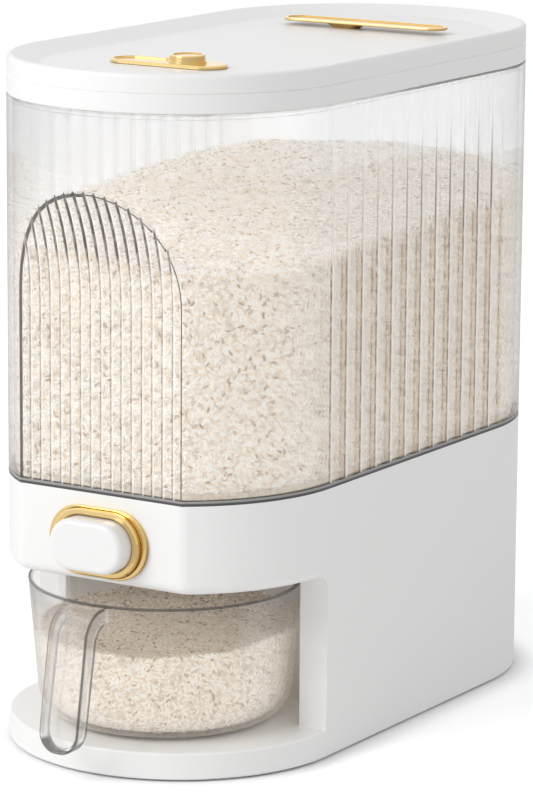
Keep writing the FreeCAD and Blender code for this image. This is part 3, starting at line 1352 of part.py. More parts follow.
def lid_plate():
    """The gold plate that closes the tub, with a finger hollow beside its knob."""
    body = new_body("lid_plate")
    centre = ("0", "plate_y")
    pad(body, pill(body, "XY_Plane", "plate_bottom", "plate_length / 2", "plate_width / 2", centre),
        "plate_thickness")
    chamfer(body, "plate_bevel", level("plate_top"))
    plug = pill(body, "XY_Plane", "plate_bottom", "tub_length / 2 - tub_wall - plug_gap",
                "tub_width / 2 - tub_wall - plug_gap", centre)
    pad(body, plug, "plug_depth", reverse=True)
    lobe_half = "(plate_length / 2 - plate_margin + knob_shift - knob_radius) / 2"
    shift = f"knob_shift - knob_radius - lobe_gap - {lobe_half}"
    lobe = pill(body, "XY_Plane", "plate_top", lobe_half, "plate_width / 2 - plate_margin",
                (shift, "plate_y"))
    pocket(body, lobe, "lobe_depth")
    fillet(body, "lobe_round", level("plate_top - lobe_depth"))
    hole = circles(body, "XY_Plane", "plate_top", [("knob_shift", "plate_y")],
                   "screw_radius + screw_slack")
    pocket(body, hole, "plate_thickness + plug_depth + 1")
    return body


def plate_knob():
    """The round gold knob on the plate, with a stepped foot."""
    body = new_body("plate_knob")
    spot = [("knob_shift", "plate_y")]
    foot = circles(body, "XY_Plane", "plate_top", spot, "knob_radius")
    pad(body, foot, "knob_foot")
    drum = circles(body, "XY_Plane", "plate_top", spot, "knob_radius - knob_step")
    pad(body, drum, "knob_height")
    fillet(body, "knob_step", level("plate_top + knob_height"))
    dip = circles(body, "XY_Plane", "plate_top + knob_height", spot, "knob_radius - knob_rim")
    pocket(body, dip, "knob_dip")
    hole = circles(body, "XY_Plane", "plate_top", spot, "screw_radius + screw_slack")
    pocket(body, hole, "knob_height - knob_skin", reverse=True)
    return body


def knob_screw():
    """The screw up through the plate's plug into the knob."""
    length = number("plug_depth + plate_thickness + knob_grip")
    spot = [("knob_shift", "plate_y")]
    return group("knob_screw", screw(length, head_up=False),
                 spots_at(spot, "plate_bottom - plug_depth"))


def plate_seal():
    """The thin silicone ring around the plate's plug."""
    body = new_body("plate_seal")
    centre = ("0", "plate_y")
    top = "plate_bottom - plate_seal_drop"
    ring = pill(body, "XY_Plane", top, "tub_length / 2 - tub_wall - fit_gap",
                "tub_width / 2 - tub_wall - fit_gap", centre)
    pad(body, ring, "plate_seal_height", reverse=True)
    bore = pill(body, "XY_Plane", top, "tub_length / 2 - tub_wall - plug_gap",
                "tub_width / 2 - tub_wall - plug_gap", centre)
    pocket(body, bore, "plate_seal_height")
    return body


# ---------------------------------------------------------------- assembly

SPRINGS = spring_spots()
NODES = [
    housing(), bottom_cover(), cover_screws(), rubber_feet(), funnel(), spout_collar(),
    hopper_gasket(), hopper_bin(), bezel_ring(), bezel_liner(), button_cap(), gate_slide(),
    button_screw_group(), spring_bracket(), bracket_screw_group(),
    return_spring("return_spring_left", SPRINGS[0]),
    return_spring("return_spring_right", SPRINGS[1]),
    measuring_cup(), lid_shell(), lid_base(), lid_seal(), lid_screws(),
    handle_bar(), handle_foot(), handle_screw_group(), desiccant_tub(), desiccant_sachet(),
    lid_plate(), plate_knob(), knob_screw(), plate_seal(),
]


def export_nodes():
    """Place and check every sub-part, then write one STEP file for each."""
    for node in NODES:
        node.setExpression("Placement.Base.y", bound("frame_shift"))
    document.recompute()
    for item in document.Objects:
        if "Invalid" in item.State or "Error" in item.State:
            raise RuntimeError(f"{item.Name} did not recompute: {item.State}")
    for node in NODES:
        if node.Shape.isNull() or not node.Shape.isValid():
            raise RuntimeError(f"{node.Label} has no valid shape")
    os.makedirs("parts", exist_ok=True)
    for node in NODES:
        node.Shape.exportStep(f"parts/{node.Label}.step")
        box = node.Shape.BoundBox
        print(f"{node.Label:22s} {len(node.Shape.Solids):2d} solids {node.Shape.Volume:11.1f} mm3"
              f"  x {box.XMin:7.1f} {box.XMax:7.1f}  y {box.YMin:7.1f} {box.YMax:7.1f}"
              f"  z {box.ZMin:6.1f} {box.ZMax:6.1f}")


export_nodes()
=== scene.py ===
# %% [markdown]
# # A countertop rice dispenser
# The real object is a clear bin on a white housing. A push button opens a gate,
# and rice falls into a clear measuring cup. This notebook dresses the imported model:
# it keeps its pieces, gives each surface its finish, fills the bin and the cup
# with rice, and lights the whole for a product picture.

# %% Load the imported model
import json
import math

import bmesh
import bpy
import numpy as np
from mathutils import Matrix, Vector, noise


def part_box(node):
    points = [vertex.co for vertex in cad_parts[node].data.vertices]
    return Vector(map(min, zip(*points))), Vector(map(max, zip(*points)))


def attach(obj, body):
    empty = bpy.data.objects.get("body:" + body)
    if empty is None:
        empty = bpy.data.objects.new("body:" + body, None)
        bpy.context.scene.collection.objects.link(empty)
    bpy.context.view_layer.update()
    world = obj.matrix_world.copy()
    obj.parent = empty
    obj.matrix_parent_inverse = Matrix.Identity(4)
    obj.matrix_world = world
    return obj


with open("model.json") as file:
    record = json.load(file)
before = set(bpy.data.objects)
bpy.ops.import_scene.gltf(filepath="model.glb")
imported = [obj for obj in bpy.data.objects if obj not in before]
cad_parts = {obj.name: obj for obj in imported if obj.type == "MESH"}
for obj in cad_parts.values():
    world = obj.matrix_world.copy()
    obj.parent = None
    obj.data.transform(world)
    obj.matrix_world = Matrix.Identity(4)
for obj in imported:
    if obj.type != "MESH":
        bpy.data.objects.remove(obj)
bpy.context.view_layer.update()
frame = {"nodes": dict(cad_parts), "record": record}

# %% [markdown]
# ## Where things are
# The main places are read from the model's own pieces, so that the rice follows
# the bin when it is resized. What a piece's box cannot tell, such as how thick a
# wall is or how high the rice lies, is a named number at the step that needs it.
# Everything is in metres.

# %% Measure the bin, the cup and the housing
MM = 0.001
bin_low, bin_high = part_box("hopper_bin")
cup_low, cup_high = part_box("measuring_cup")
housing_low, housing_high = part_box("housing")
half_width = bin_high.x
bin_middle_y = (bin_low.y + bin_high.y) / 2
arc_run = (bin_high.y - bin_low.y) / 2 - half_width
print("bin half width", half_width, "middle", bin_middle_y, "straight run", arc_run)

# %% [markdown]
# ## The camera
# The picture is a long-lens view from the front right, a little above the object.
# A long lens keeps the upright edges nearly parallel. The camera's axes are built
# from its heading, its height angle and a slight roll, then written as a matrix.

# %% Place the camera
FOCAL_PIXELS = 4046.0
IMAGE_HEIGHT = 801.0
SENSOR = 36.0
VIEW_LIMIT = 20.0
heading = math.radians(32.06)
height_angle = math.radians(11.77)
roll = 0.007
target = Vector((0.1083, bin_low.y, 0.2072))
distance = 1.9650

back = Vector((math.sin(heading) * math.cos(height_angle),
               -math.cos(heading) * math.cos(height_angle),
               math.sin(height_angle)))
level_right = Vector((math.cos(heading), math.sin(heading), 0))
level_up = back.cross(level_right)
right = level_right * math.cos(roll) + level_up * math.sin(roll)
up = level_up * math.cos(roll) - level_right * math.sin(roll)

camera_data = bpy.data.cameras.new("camera")
camera_data.sensor_width = SENSOR
camera_data.lens = FOCAL_PIXELS * SENSOR / IMAGE_HEIGHT
camera_data.clip_end = VIEW_LIMIT
camera = bpy.data.objects.new("camera", camera_data)
bpy.context.scene.collection.objects.link(camera)
axes = Matrix((right, up, back)).transposed().to_4x4()
camera.matrix_world = Matrix.Translation(target + back * distance) @ axes
bpy.context.scene.camera = camera
print("camera at", camera.location, "lens", round(camera_data.lens, 1))

# %% [markdown]
# ## Writing shader maths
# Node trees are easier to read as formulas. A small class wraps a socket, so that
# `noise * 0.2 + 0.5` adds its own Math nodes. Its named methods make masks, which
# are one where a line or a band is to be drawn and zero elsewhere.

# %% A number in a node tree
class Value:
    """A socket that carries a number, with Python's operators."""

    def __init__(self, tree, socket):
        self.tree = tree
        self.socket = socket

    def math(self, operation, *others):
        node = self.tree.new("ShaderNodeMath", {"operation": operation}, self, *others)
        return Value(self.tree, node.outputs[0])

    def __add__(self, other):
        return self.math("ADD", other)

    def __sub__(self, other):
        return self.math("SUBTRACT", other)

    def __rsub__(self, other):
        node = self.tree.new("ShaderNodeMath", {"operation": "SUBTRACT"}, other, self)
        return Value(self.tree, node.outputs[0])

    def __mul__(self, other):
        return self.math("MULTIPLY", other)

    def power(self, other):
        return self.math("POWER", other)

    def absolute(self):
        return self.math("ABSOLUTE")

    def largest(self, other):
        return self.math("MAXIMUM", other)

    def near(self, other, reach):
        """One where the value lies within reach of the other, else zero."""
        return self.math("COMPARE", other, reach)

    def under(self, other):
        return self.math("LESS_THAN", other)

    def over(self, other):
        return self.math("GREATER_THAN", other)

    def ramp(self, low, high):
        """Zero below low, one above high, and a smooth step between."""
        node = self.tree.new("ShaderNodeMapRange", {"interpolation_type": "SMOOTHSTEP"},
                             self, low, high)
        return Value(self.tree, node.outputs[0])

    def band(self, centre, core, edge):
        """One within core of the centre, and zero from edge outwards."""
        return 1.0 - (self - centre).absolute().ramp(core, edge)

    def clamped(self):
        node = self.tree.new("ShaderNodeClamp", {}, self)
        return Value(self.tree, node.outputs[0])


def length(first, second):
    """Length of a step, from its two parts."""
    return (first * first + second * second).power(0.5)


def oblong_reach(x, y, middle_y, half_run):
    """Distance from the straight middle line of an oblong plan."""
    return length(x, ((y - middle_y).absolute() - half_run).largest(0.0))


print("number helpers ready")

# %% [markdown]
# ## Making a material's nodes
# Every node comes from one method, which takes the node's type, its settings and
# its inputs. The other methods are short names for the nodes that come up often:
# coordinates, noise, colour mixes, bump, and the angle at which a face is seen.

# %% Tree helpers
class Tree:
    """A material's nodes, made and linked by one method."""

    def __init__(self, name):
        self.material = bpy.data.materials.new(name)
        self.material.use_nodes = True
        self.nodes = self.material.node_tree.nodes
        self.links = self.material.node_tree.links
        self.nodes.clear()
        self.output = self.new("ShaderNodeOutputMaterial", {})

    def new(self, kind, settings, *inputs, **named):
        node = self.nodes.new(kind)
        for key, setting in settings.items():
            if key == "stops":
                self.set_stops(node, setting)
            else:
                setattr(node, key, setting)
        for index, item in enumerate(inputs):
            self.fill(node.inputs[index], item)
        for key, item in named.items():
            self.fill(node.inputs[key.replace("_", " ")], item)
        return node

    def fill(self, socket, item):
        source = item.socket if isinstance(item, Value) else item
        if isinstance(source, bpy.types.NodeSocket):
            self.links.new(source, socket)
        elif item is not None:
            socket.default_value = item

    def set_stops(self, node, stops):
        ramp = node.color_ramp
        while len(ramp.elements) < len(stops):
            ramp.elements.new(0.5)
        for element, (position, colour) in zip(ramp.elements, stops):
            element.position = position
            element.color = (*colour, 1)

    def coords(self, scale=(1, 1, 1)):
        """Object coordinates, stretched."""
        place = self.new("ShaderNodeTexCoord", {})
        mapping = self.new("ShaderNodeMapping", {}, place.outputs["Object"], Scale=scale)
        return mapping.outputs[0]

    def place(self):
        """The three object coordinates as values."""
        split = self.new("ShaderNodeSeparateXYZ", {},
                         self.new("ShaderNodeTexCoord", {}).outputs["Object"])
        return [Value(self, output) for output in split.outputs]

    def facing(self, direction):
        """How far the surface faces a direction: one towards it, minus one away."""
        normal = self.new("ShaderNodeNewGeometry", {}).outputs["Normal"]
        node = self.new("ShaderNodeVectorMath", {"operation": "DOT_PRODUCT"}, normal, direction)
        return Value(self, node.outputs["Value"])

    def edge_on(self):
        """Nearly zero where the surface faces the eye, one where it is seen edge-on."""
        node = self.new("ShaderNodeLayerWeight", {}, Blend=0.5)
        return Value(self, node.outputs["Facing"])

    def blend(self, factor, first, second):
        """Mix two shaders and make the mix the material's surface."""
        node = self.new("ShaderNodeMixShader", {}, factor, first, second)
        self.links.new(node.outputs[0], self.output.inputs[0])
        return node.outputs[0]

    def noise(self, coords, scale, detail=3.0, roughness=0.55):
        node = self.new("ShaderNodeTexNoise", {}, coords, Scale=scale, Detail=detail,
                        Roughness=roughness)
        return Value(self, node.outputs[0])

    def mix(self, factor, first, second):
        """Mix two colours."""
        node = self.nodes.new("ShaderNodeMix")
        node.data_type = "RGBA"
        self.fill(node.inputs[0], factor)
        self.fill(node.inputs[6], first)
        self.fill(node.inputs[7], second)
        return node.outputs[2]

    def bump(self, height, strength, depth):
        node = self.new("ShaderNodeBump", {}, Strength=strength, Distance=depth, Height=height)
        return node.outputs[0]

    def principled(self, **inputs):
        node = self.new("ShaderNodeBsdfPrincipled", {}, **inputs)
        self.links.new(node.outputs[0], self.output.inputs[0])


def rgb(red, green, blue):
    """A colour given as 0 to 255 values on screen, turned to linear light."""
    linear = []
    for part in (red, green, blue):
        share = part / 255
        low = share / 12.92
        linear.append(low if share <= 0.04045 else ((share + 0.055) / 1.055) ** 2.4)
    return (*linear, 1.0)


print("tree helpers ready")

# %% [markdown]
# ## White moulded plastic
# The housing, lid and button are moulded in white ABS with a fine satin texture.
# Up close it has a faint orange-peel grain and the gloss drifts a little, because
# the mould's polish is uneven. Three noises do this: a fine one and a coarser one
# for the bump, and a broad one for the tint and the roughness. The tint stays just
# under pure white, so that the light can still shape the faces.

# %% White plastic
def moulded_white(name, tint, roughness, grain):
    tree = Tree(name)
    coords = tree.coords()
    broad = tree.noise(coords, scale=9.0, detail=2.0)
    fine = tree.noise(coords, scale=2600.0, detail=2.0)
    peel = tree.noise(coords, scale=420.0, detail=2.0)
    colour = tree.mix((broad - 0.5) * 0.5 + 0.25, tint, rgb(238, 238, 236))
    height = fine * 0.5 + peel * 0.8
    tree.principled(Base_Color=colour, Roughness=(broad - 0.5) * 0.16 + roughness,
                    IOR=1.5, Coat_Weight=0.12, Coat_Roughness=0.22,
                    Normal=tree.bump(height, strength=grain, depth=0.00006))
    return tree.material


housing_plastic = moulded_white("housing_plastic", rgb(246, 246, 246), roughness=0.36, grain=0.35)
lid_plastic = moulded_white("lid_plastic", rgb(244, 244, 244), roughness=0.33, grain=0.25)
button_plastic = moulded_white("button_plastic", rgb(240, 240, 240), roughness=0.24, grain=0.12)
inner_plastic = moulded_white("inner_plastic", rgb(238, 238, 235), roughness=0.5, grain=0.5)
print("white plastics made")

# %% [markdown]
# ## Plated gold trim
# The bezel, the lid's handle and the small lid plate are plastic with a bright
# gold plating. Its colour carries a painted reflection: paler on faces turned up to
# the light and deeper on faces turned down and aside, towards the darker floor,
# so the tone follows the way that a face points.
# Faint polishing lines in the roughness keep it from looking liquid.

# %% Gold plating
def plated_gold(name, stretch):
    tree = Tree(name)
    lines = tree.noise(tree.coords(scale=stretch), scale=700.0, detail=4.0, roughness=0.7)
    cloud = tree.noise(tree.coords(), scale=35.0, detail=2.0)
    # The tone is a painted reflection: paler on faces turned up, deeper on faces turned down and
    # aside.
    painted_reflection = (tree.facing((-0.5, -0.3, 0.8)) * 0.42 + cloud * 0.1 + 0.52).clamped()
    tone = tree.mix(painted_reflection, rgb(160, 112, 44), rgb(255, 228, 164))
    tree.principled(Base_Color=tone, Metallic=1.0,
                    Roughness=lines * 0.1 + cloud * 0.05 + 0.06,
                    Normal=tree.bump(lines, strength=0.05, depth=0.00005))
    return tree.material


gold_ring = plated_gold("gold_ring", (1, 1, 1))
gold_lid = plated_gold("gold_lid", (0.06, 1, 1))
print("gold made")

# %% [markdown]
# ## Clear moulded plastic
# The bin and the cup are clear styrene. Seen square-on it hides almost nothing, and
# seen edge-on it bends the view and darkens, which draws the outlines. So its alpha
# follows the facing angle: low in the middle of a wall and full at the edges.
# Moulded walls are never quite flat, so a weak bump makes the reflections wander.

# %% Clear plastic
def clear_shader(tree, tint, open_alpha, edge_power, waviness, extra_alpha=0.0):
    """A clear shader; its alpha grows from open_alpha to one where it is edge-on."""
    waves = tree.noise(tree.coords(scale=(1, 1, 0.4)), scale=16.0, detail=1.0)
    haze = tree.noise(tree.coords(), scale=60.0)
    edge = tree.edge_on().power(edge_power)
    return tree.new("ShaderNodeBsdfPrincipled", {}, Base_Color=tint,
                    Roughness=haze * 0.014 + 0.003, IOR=1.49, Transmission_Weight=1.0,
                    Alpha=(edge * (1.0 - open_alpha) + open_alpha + extra_alpha).clamped(),
                    Normal=tree.bump(waves, strength=waviness, depth=0.002)).outputs[0]


print("clear shader ready")

# %% [markdown]
# ## The cup's edges
# Where a clear wall ends, the eye looks along it and it turns grey. On the cup this
# grey is painted shade, drawn as three lines: the outline of the grip at its front,
# the rim, and the edge of the floor. Each is a mask worked out from the place on the
# surface, and the masks mix a painted grey shade over the clear plastic. The flat
# top of the rim stays the clearest.

# %% The cup's plastic
RIM_RADIUS = 71.4 * MM
GRIP_HALF = 12.0 * MM
GRIP_START = 1.5 * MM
GRIP_LINE_INSIDE, GRIP_LINE_OUTSIDE = 1.4 * MM, 0.9 * MM
TOP_DEPTH = 0.9 * MM
LIP_DEPTH = 1.3 * MM
FLOOR_LINE_START, FLOOR_LINE_END = 0.8 * MM, 1.8 * MM
GRIP_SHADE, LIP_SHADE, FLOOR_SHADE = 0.8, 0.75, 0.5
cup_axis_y = cup_high.y - RIM_RADIUS
tree = Tree("cup_plastic")
x, y, z = tree.place()
on_grip = y.under(cup_axis_y - RIM_RADIUS - GRIP_START)
off_grip = 1.0 - on_grip
from_bend = length(x, (cup_low.z + GRIP_HALF - z).largest(0.0))
aside = tree.facing((1.0, 0.0, 0.0)).absolute().ramp(0.85, 0.97)
# The grip's outline, the lip and the floor's edge are painted shade where the clear wall is seen
# edge-on.
outline_shade = (from_bend.ramp(GRIP_HALF - GRIP_LINE_INSIDE, GRIP_HALF - GRIP_LINE_OUTSIDE)
           * on_grip * (1.0 - aside * 0.85))
from_axis = length(x, y - cup_axis_y)
on_top = z.over(cup_high.z - TOP_DEPTH) * off_grip
lip = from_axis.over(RIM_RADIUS - LIP_DEPTH) * z.over(cup_high.z - LIP_DEPTH) * off_grip
floor_line = 1.0 - z.ramp(cup_low.z + FLOOR_LINE_START, cup_low.z + FLOOR_LINE_END)
cup_clear = clear_shader(tree, rgb(240, 240, 239), open_alpha=0.1, edge_power=2.1,
                         waviness=0.04, extra_alpha=on_top * -0.4)
# A dark grey shader paints that shade over the clear plastic.
edge_shade = tree.new("ShaderNodeBsdfPrincipled", {}, Base_Color=rgb(72, 69, 66), Roughness=0.2)
painted_edge_shade = outline_shade * GRIP_SHADE + lip * LIP_SHADE + floor_line * off_grip * FLOOR_SHADE
tree.blend(painted_edge_shade.clamped(), cup_clear, edge_shade.outputs[0])
cup_plastic = tree.material
print("cup plastic made, axis at", round(cup_axis_y, 4))

# %% [markdown]
# ## Places on the bin
# The bin's finish and the rice need the same few places: the flat that cuts the
# front, the height where that flat starts to curve forward, the fine reeds on it,
# the broad flutes of the sides, the joint under the lid, and the level of the rice.
# The level is a formula for plain numbers and for shader values alike, because the
# flutes look warm only where rice lies behind them.

# %% Set the places on the bin
SCOOP_START = 242.5 * MM
SCOOP_RADIUS = 115.0 * MM
REEDS = 15
FLUTES = 12
FLUTE_PITCH = 15.0 * MM
RIM_HEIGHT = 7.0 * MM
RICE_LEVEL = 274.5 * MM
RICE_RISE = 0.058
RICE_BEND = 0.172
RICE_TILT = 7.0 * MM
flat_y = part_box("hopper_gasket")[0].y
foremost = half_width + arc_run - bin_middle_y
flat_inset = flat_y + foremost
flat_half = math.sqrt(half_width ** 2 - (half_width - flat_inset) ** 2)
reed_pitch = 2 * flat_half / (REEDS + 1)
bin_top = bin_high.z - RIM_HEIGHT


def rice_level(x, y):
    """Level of the rice without its lumps, for numbers and for shader values alike."""
    along = y - bin_middle_y
    tilt = x * (RICE_TILT / half_width)
    return along * RICE_RISE - along * along * RICE_BEND - tilt + RICE_LEVEL


print("flat's half width", round(flat_half, 4), "reed pitch", round(reed_pitch, 5))

# %% [markdown]
# ## Lines on the bin's front
# Fine reeds run down the front flat. Each groove turns the light away, so it is
# painted as a thin, gritty dark line of shade, with a painted highlight as a pale
# streak beside it. Towards the top of the arch the eye meets the curved front at a
# low angle, so the painted lines are broader and darker there. A dark line of
# painted shade also follows the edge of the flat, broader on its left, and the bin's
# outline is painted dark where the wall is seen edge-on. The joint with the lid
# carries a painted dark line for the lid's shadow, fainter at the front, where the
# light reaches under the lid.

# %% Masks of the dark lines
CUT_REACH = 1.2 * MM
ARCH_START, ARCH_FULL = 256 * MM, 272 * MM
ARCH_WIDENING = 0.09
REED_LINE = (0.02, 0.1)
REED_SHINE = (0.22, 0.04, 0.14)
EDGE_START, EDGE_WIDTH, EDGE_EXTRA = 0.02 * MM, 0.4 * MM, 0.6 * MM
EDGE_REACH = 0.35 * MM
SEAM_BELOW, SEAM_ABOVE, SEAM_DEPTH = 0.9 * MM, 0.2 * MM, 1.5 * MM
SEAM_FRONT, SEAM_BACK = -90 * MM, 20 * MM
OUTLINE_POWER = 9.0
FLAT_EDGE_SHADE, OUTLINE_EDGE_SHADE, LID_SHADOW_LEVEL, LID_SHADOW_EXTRA = 0.9, 0.55, 0.15, 0.6
tree = Tree("bin_plastic")
x, y, z = tree.place()
from_middle = y - bin_middle_y
rise = (z - SCOOP_START).largest(0.0)
curve = SCOOP_RADIUS - (SCOOP_RADIUS ** 2 - rise * rise).largest(0.0).power(0.5)
ahead = y - flat_y + curve
inside = half_width - length(x, from_middle + arc_run)
row = x * (1 / reed_pitch)
phase = row - row.math("ROUND")
among = x.absolute().under(reed_pitch * (REEDS / 2))
on_flat = among * ahead.near(0.0, CUT_REACH) * inside.over(EDGE_REACH)
arch = z.ramp(ARCH_START, ARCH_FULL) * (1.0 - x * x * (0.7 / flat_half ** 2))
grit = tree.noise(tree.coords(scale=(1, 1, 0.3)), scale=420.0, roughness=0.7).ramp(0.35, 0.6)
# Each reed is painted as a dark line of shade; the pale streak beside it is a painted highlight.
line = 1.0 - (phase.absolute() - arch * ARCH_WIDENING).ramp(*REED_LINE)
line = line * on_flat * (arch * 0.4 + grit * 0.25 + 0.3)
shine = phase.band(*REED_SHINE) * on_flat * 0.45
edge_width = x.under(0.0) * EDGE_EXTRA + EDGE_WIDTH
flat_edge = inside.under(edge_width) * inside.over(EDGE_START) * ahead.near(0.0, EDGE_REACH)
# The outline is painted shade where the wall is seen edge-on.
outline_shade = tree.edge_on().power(OUTLINE_POWER)
# A painted dark line under the lid stands for the lid's shadow, darker towards the back.
lid_shadow = (z.over(bin_top - SEAM_BELOW) * z.under(bin_top + SEAM_ABOVE)
        * oblong_reach(x, y, bin_middle_y, arc_run).over(half_width - SEAM_DEPTH))
lid_shadow_share = from_middle.ramp(SEAM_FRONT, SEAM_BACK) * LID_SHADOW_EXTRA + LID_SHADOW_LEVEL
painted_shade_lines = line.largest(flat_edge * FLAT_EDGE_SHADE).largest(outline_shade * OUTLINE_EDGE_SHADE)
painted_shade_lines = painted_shade_lines.largest(lid_shadow * lid_shadow_share)
print("masks of the dark lines made")

# %% [markdown]
# ## Bands on the fluted sides
# The broad flutes bend what lies behind them, and this is painted on the plastic.
# In front of rice, each one shows a speckled dark groove and a faint second line of
# painted shade, a bright streak that is a painted highlight and a milky veil of
# painted light, and the plastic looks warm around the groove. Above the rice, grey
# grooves of painted shade and pale painted highlights are left. Both fade out below
# the lid and are much weaker on the left, and the grooves grow stronger towards the
# back. A band's numbers are shares of a flute: where its middle lies, how far it is
# full, and where it ends.

# %% Masks of the flutes
GROOVE = (0.08, 0.03, 0.09)
BRIGHT = (0.24, 0.03, 0.09)
SECOND = (0.8, 0.01, 0.06)
VEIL_RISE, VEIL_FALL = (0.26, 0.34), (0.5, 0.66)
WARM_RISE, WARM_FALL = (0.62, 0.78), (0.02, 0.18)
SIDE_DEPTH = 1.0 * MM
LEVEL_START, LEVEL_END = -5.0 * MM, 2.0 * MM
LID_SHADE_START, LID_SHADE_END = 70 * MM, 10 * MM
REAR_START, REAR_FULL = -120 * MM, 70 * MM
flute_row = from_middle * (1 / FLUTE_PITCH)
flute_phase = flute_row - flute_row.math("FLOOR")
fluted = (x.absolute().over(half_width - SIDE_DEPTH)
          * from_middle.absolute().under(FLUTE_PITCH * FLUTES / 2))
below_rice = 1.0 - (z - rice_level(x, y)).ramp(LEVEL_START, LEVEL_END)
fades = 1.0 - z.ramp(bin_top - LID_SHADE_START, bin_top - LID_SHADE_END)
above_rice = (1.0 - below_rice) * fades * (x.over(0.0) * 0.9 + 0.1)
rearward = from_middle.ramp(REAR_START, REAR_FULL)
specks = tree.noise(tree.coords(scale=(1, 1, 0.45)), scale=520.0, roughness=0.7).ramp(0.4, 0.6)
streaks = tree.noise(tree.coords(scale=(1, 1, 0.05)), scale=260.0, detail=2.0)
# Grooves and second lines are painted shade; the bright band and the veil are painted light.
groove = flute_phase.band(*GROOVE) * fluted
groove_shade = groove * (below_rice * (specks * 0.5 + 0.3) + above_rice * rearward * 0.95)
faint_shade = flute_phase.band(*SECOND) * fluted * below_rice * specks * 0.45
veil = flute_phase.ramp(*VEIL_RISE) * (1.0 - flute_phase.ramp(*VEIL_FALL))
pale_light = flute_phase.band(*BRIGHT) * 0.8 + veil * (streaks * 0.4 + 0.05)
painted_light_mask = pale_light * fluted * (below_rice * 0.8 + above_rice * 0.5) + shine
warm = flute_phase.ramp(*WARM_RISE) + 1.0 - flute_phase.ramp(*WARM_FALL)
warm = warm * fluted * below_rice
print("masks of the flutes made")

# %% [markdown]
# ## The bin's plastic
# Four shaders are laid over one another by the masks: the clear plastic with its
# warm tint, then the milky streaks of painted light, then the brown or grey grooves
# of painted shade, and last the dark lines of painted shade. The milk glows a little,
# because it is painted light that stands for light the flute gathers from the bright
# room.

# %% Mix the bin's plastic
tint = tree.mix(warm * 0.8, rgb(240, 241, 242), rgb(184, 160, 126))
clear = clear_shader(tree, tint, open_alpha=0.13, edge_power=2.2, waviness=0.03,
                     extra_alpha=warm * (specks * 0.35 + 0.08))
# The milk is painted light: a pale shader that glows a little.
light_paint = tree.new("ShaderNodeBsdfPrincipled", {}, Base_Color=rgb(248, 246, 243), Roughness=0.35,
                Emission_Color=rgb(255, 253, 250), Emission_Strength=0.16)
# The grooves are painted shade, grey above the rice and brown in front of it.
groove_shade_colour = tree.mix(below_rice, rgb(96, 93, 90), rgb(126, 104, 76))
groove_shade_paint = tree.new("ShaderNodeBsdfPrincipled", {}, Base_Color=groove_shade_colour, Roughness=0.3)
# This dark shader paints the shade of the reeds, the flat's edge, the outline and the lid's
# shadow.
dark = tree.new("ShaderNodeBsdfPrincipled", {}, Base_Color=rgb(70, 68, 66), Roughness=0.3)
light_painted = tree.blend(painted_light_mask.clamped(), clear, light_paint.outputs[0])
groove_shaded = tree.blend((groove_shade + faint_shade).clamped(), light_painted, groove_shade_paint.outputs[0])
tree.blend(painted_shade_lines, groove_shaded, dark.outputs[0])
bin_plastic = tree.material
print("bin plastic made of", len(tree.nodes), "nodes")

# %% [markdown]
# ## Rubber, steel and paper
# The band under the bin is a soft gasket: its lower edge lies in the shade of the
# joint and is dark, and the rest is a lighter grey. The feet are black rubber, the
# lid's seal is pale silicone, the screws and springs are plain steel, and the
# desiccant sachet is paper. Most of them show only from below or with the lid
# lifted, so a noise or two each is enough.

# %% Small finishes
def rubber(name, tint, roughness):
    tree = Tree(name)
    grain = tree.noise(tree.coords(), scale=1500.0)
    cloud = tree.noise(tree.coords(), scale=40.0, detail=2.0)
    paler = tuple(part * 1.5 for part in tint[:3]) + (1,)
    tree.principled(Base_Color=tree.mix(cloud, tint, paler),
                    Roughness=grain * 0.15 + roughness,
                    Normal=tree.bump(grain, strength=0.3, depth=0.00008))
    return tree.material


def steel(name, tint):
    tree = Tree(name)
    lines = tree.noise(tree.coords(scale=(1, 1, 6)), scale=900.0, detail=4.0, roughness=0.7)
    tree.principled(Base_Color=tree.mix(lines, tint, rgb(225, 225, 228)), Metallic=1.0,
                    Roughness=lines * 0.2 + 0.2,
                    Normal=tree.bump(lines, strength=0.1, depth=0.00004))
    return tree.material


def paper(name, tint):
    tree = Tree(name)
    fibre = tree.noise(tree.coords(scale=(1, 3, 1)), scale=900.0, detail=5.0, roughness=0.7)
    tree.principled(Base_Color=tree.mix(fibre, tint, rgb(250, 250, 248)), Roughness=0.85,
                    Normal=tree.bump(fibre, strength=0.5, depth=0.0002))
    return tree.material


SHADE_END = 1.1 * MM
SHADE_FADE = 1.7 * MM
gasket_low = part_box("hopper_gasket")[0].z
tree = Tree("gasket_rubber")
z = tree.place()[2]
# The lower edge is painted dark as the shade of the joint.
lit = z.ramp(gasket_low + SHADE_END, gasket_low + SHADE_FADE)
shaded_tones = tree.mix(lit, rgb(74, 74, 76), rgb(158, 157, 155))
tree.principled(Base_Color=shaded_tones, Roughness=0.4)
gasket_rubber = tree.material
feet_rubber = rubber("feet_rubber", rgb(48, 48, 50), roughness=0.6)
silicone = rubber("silicone", rgb(232, 232, 230), roughness=0.5)
screw_steel = steel("screw_steel", rgb(160, 160, 164))
spring_steel = steel("spring_steel", rgb(178, 178, 182))
sachet_paper = paper("sachet_paper", rgb(228, 226, 220))
print("small finishes made")

# %% [markdown]
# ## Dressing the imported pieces
# Each piece of the model names the slot of its finish, so one table dresses all of
# them. The lid's gold pieces share a slot with the bezel, but polishing left long
# lines across them, so they get the gold with the stretched noise.

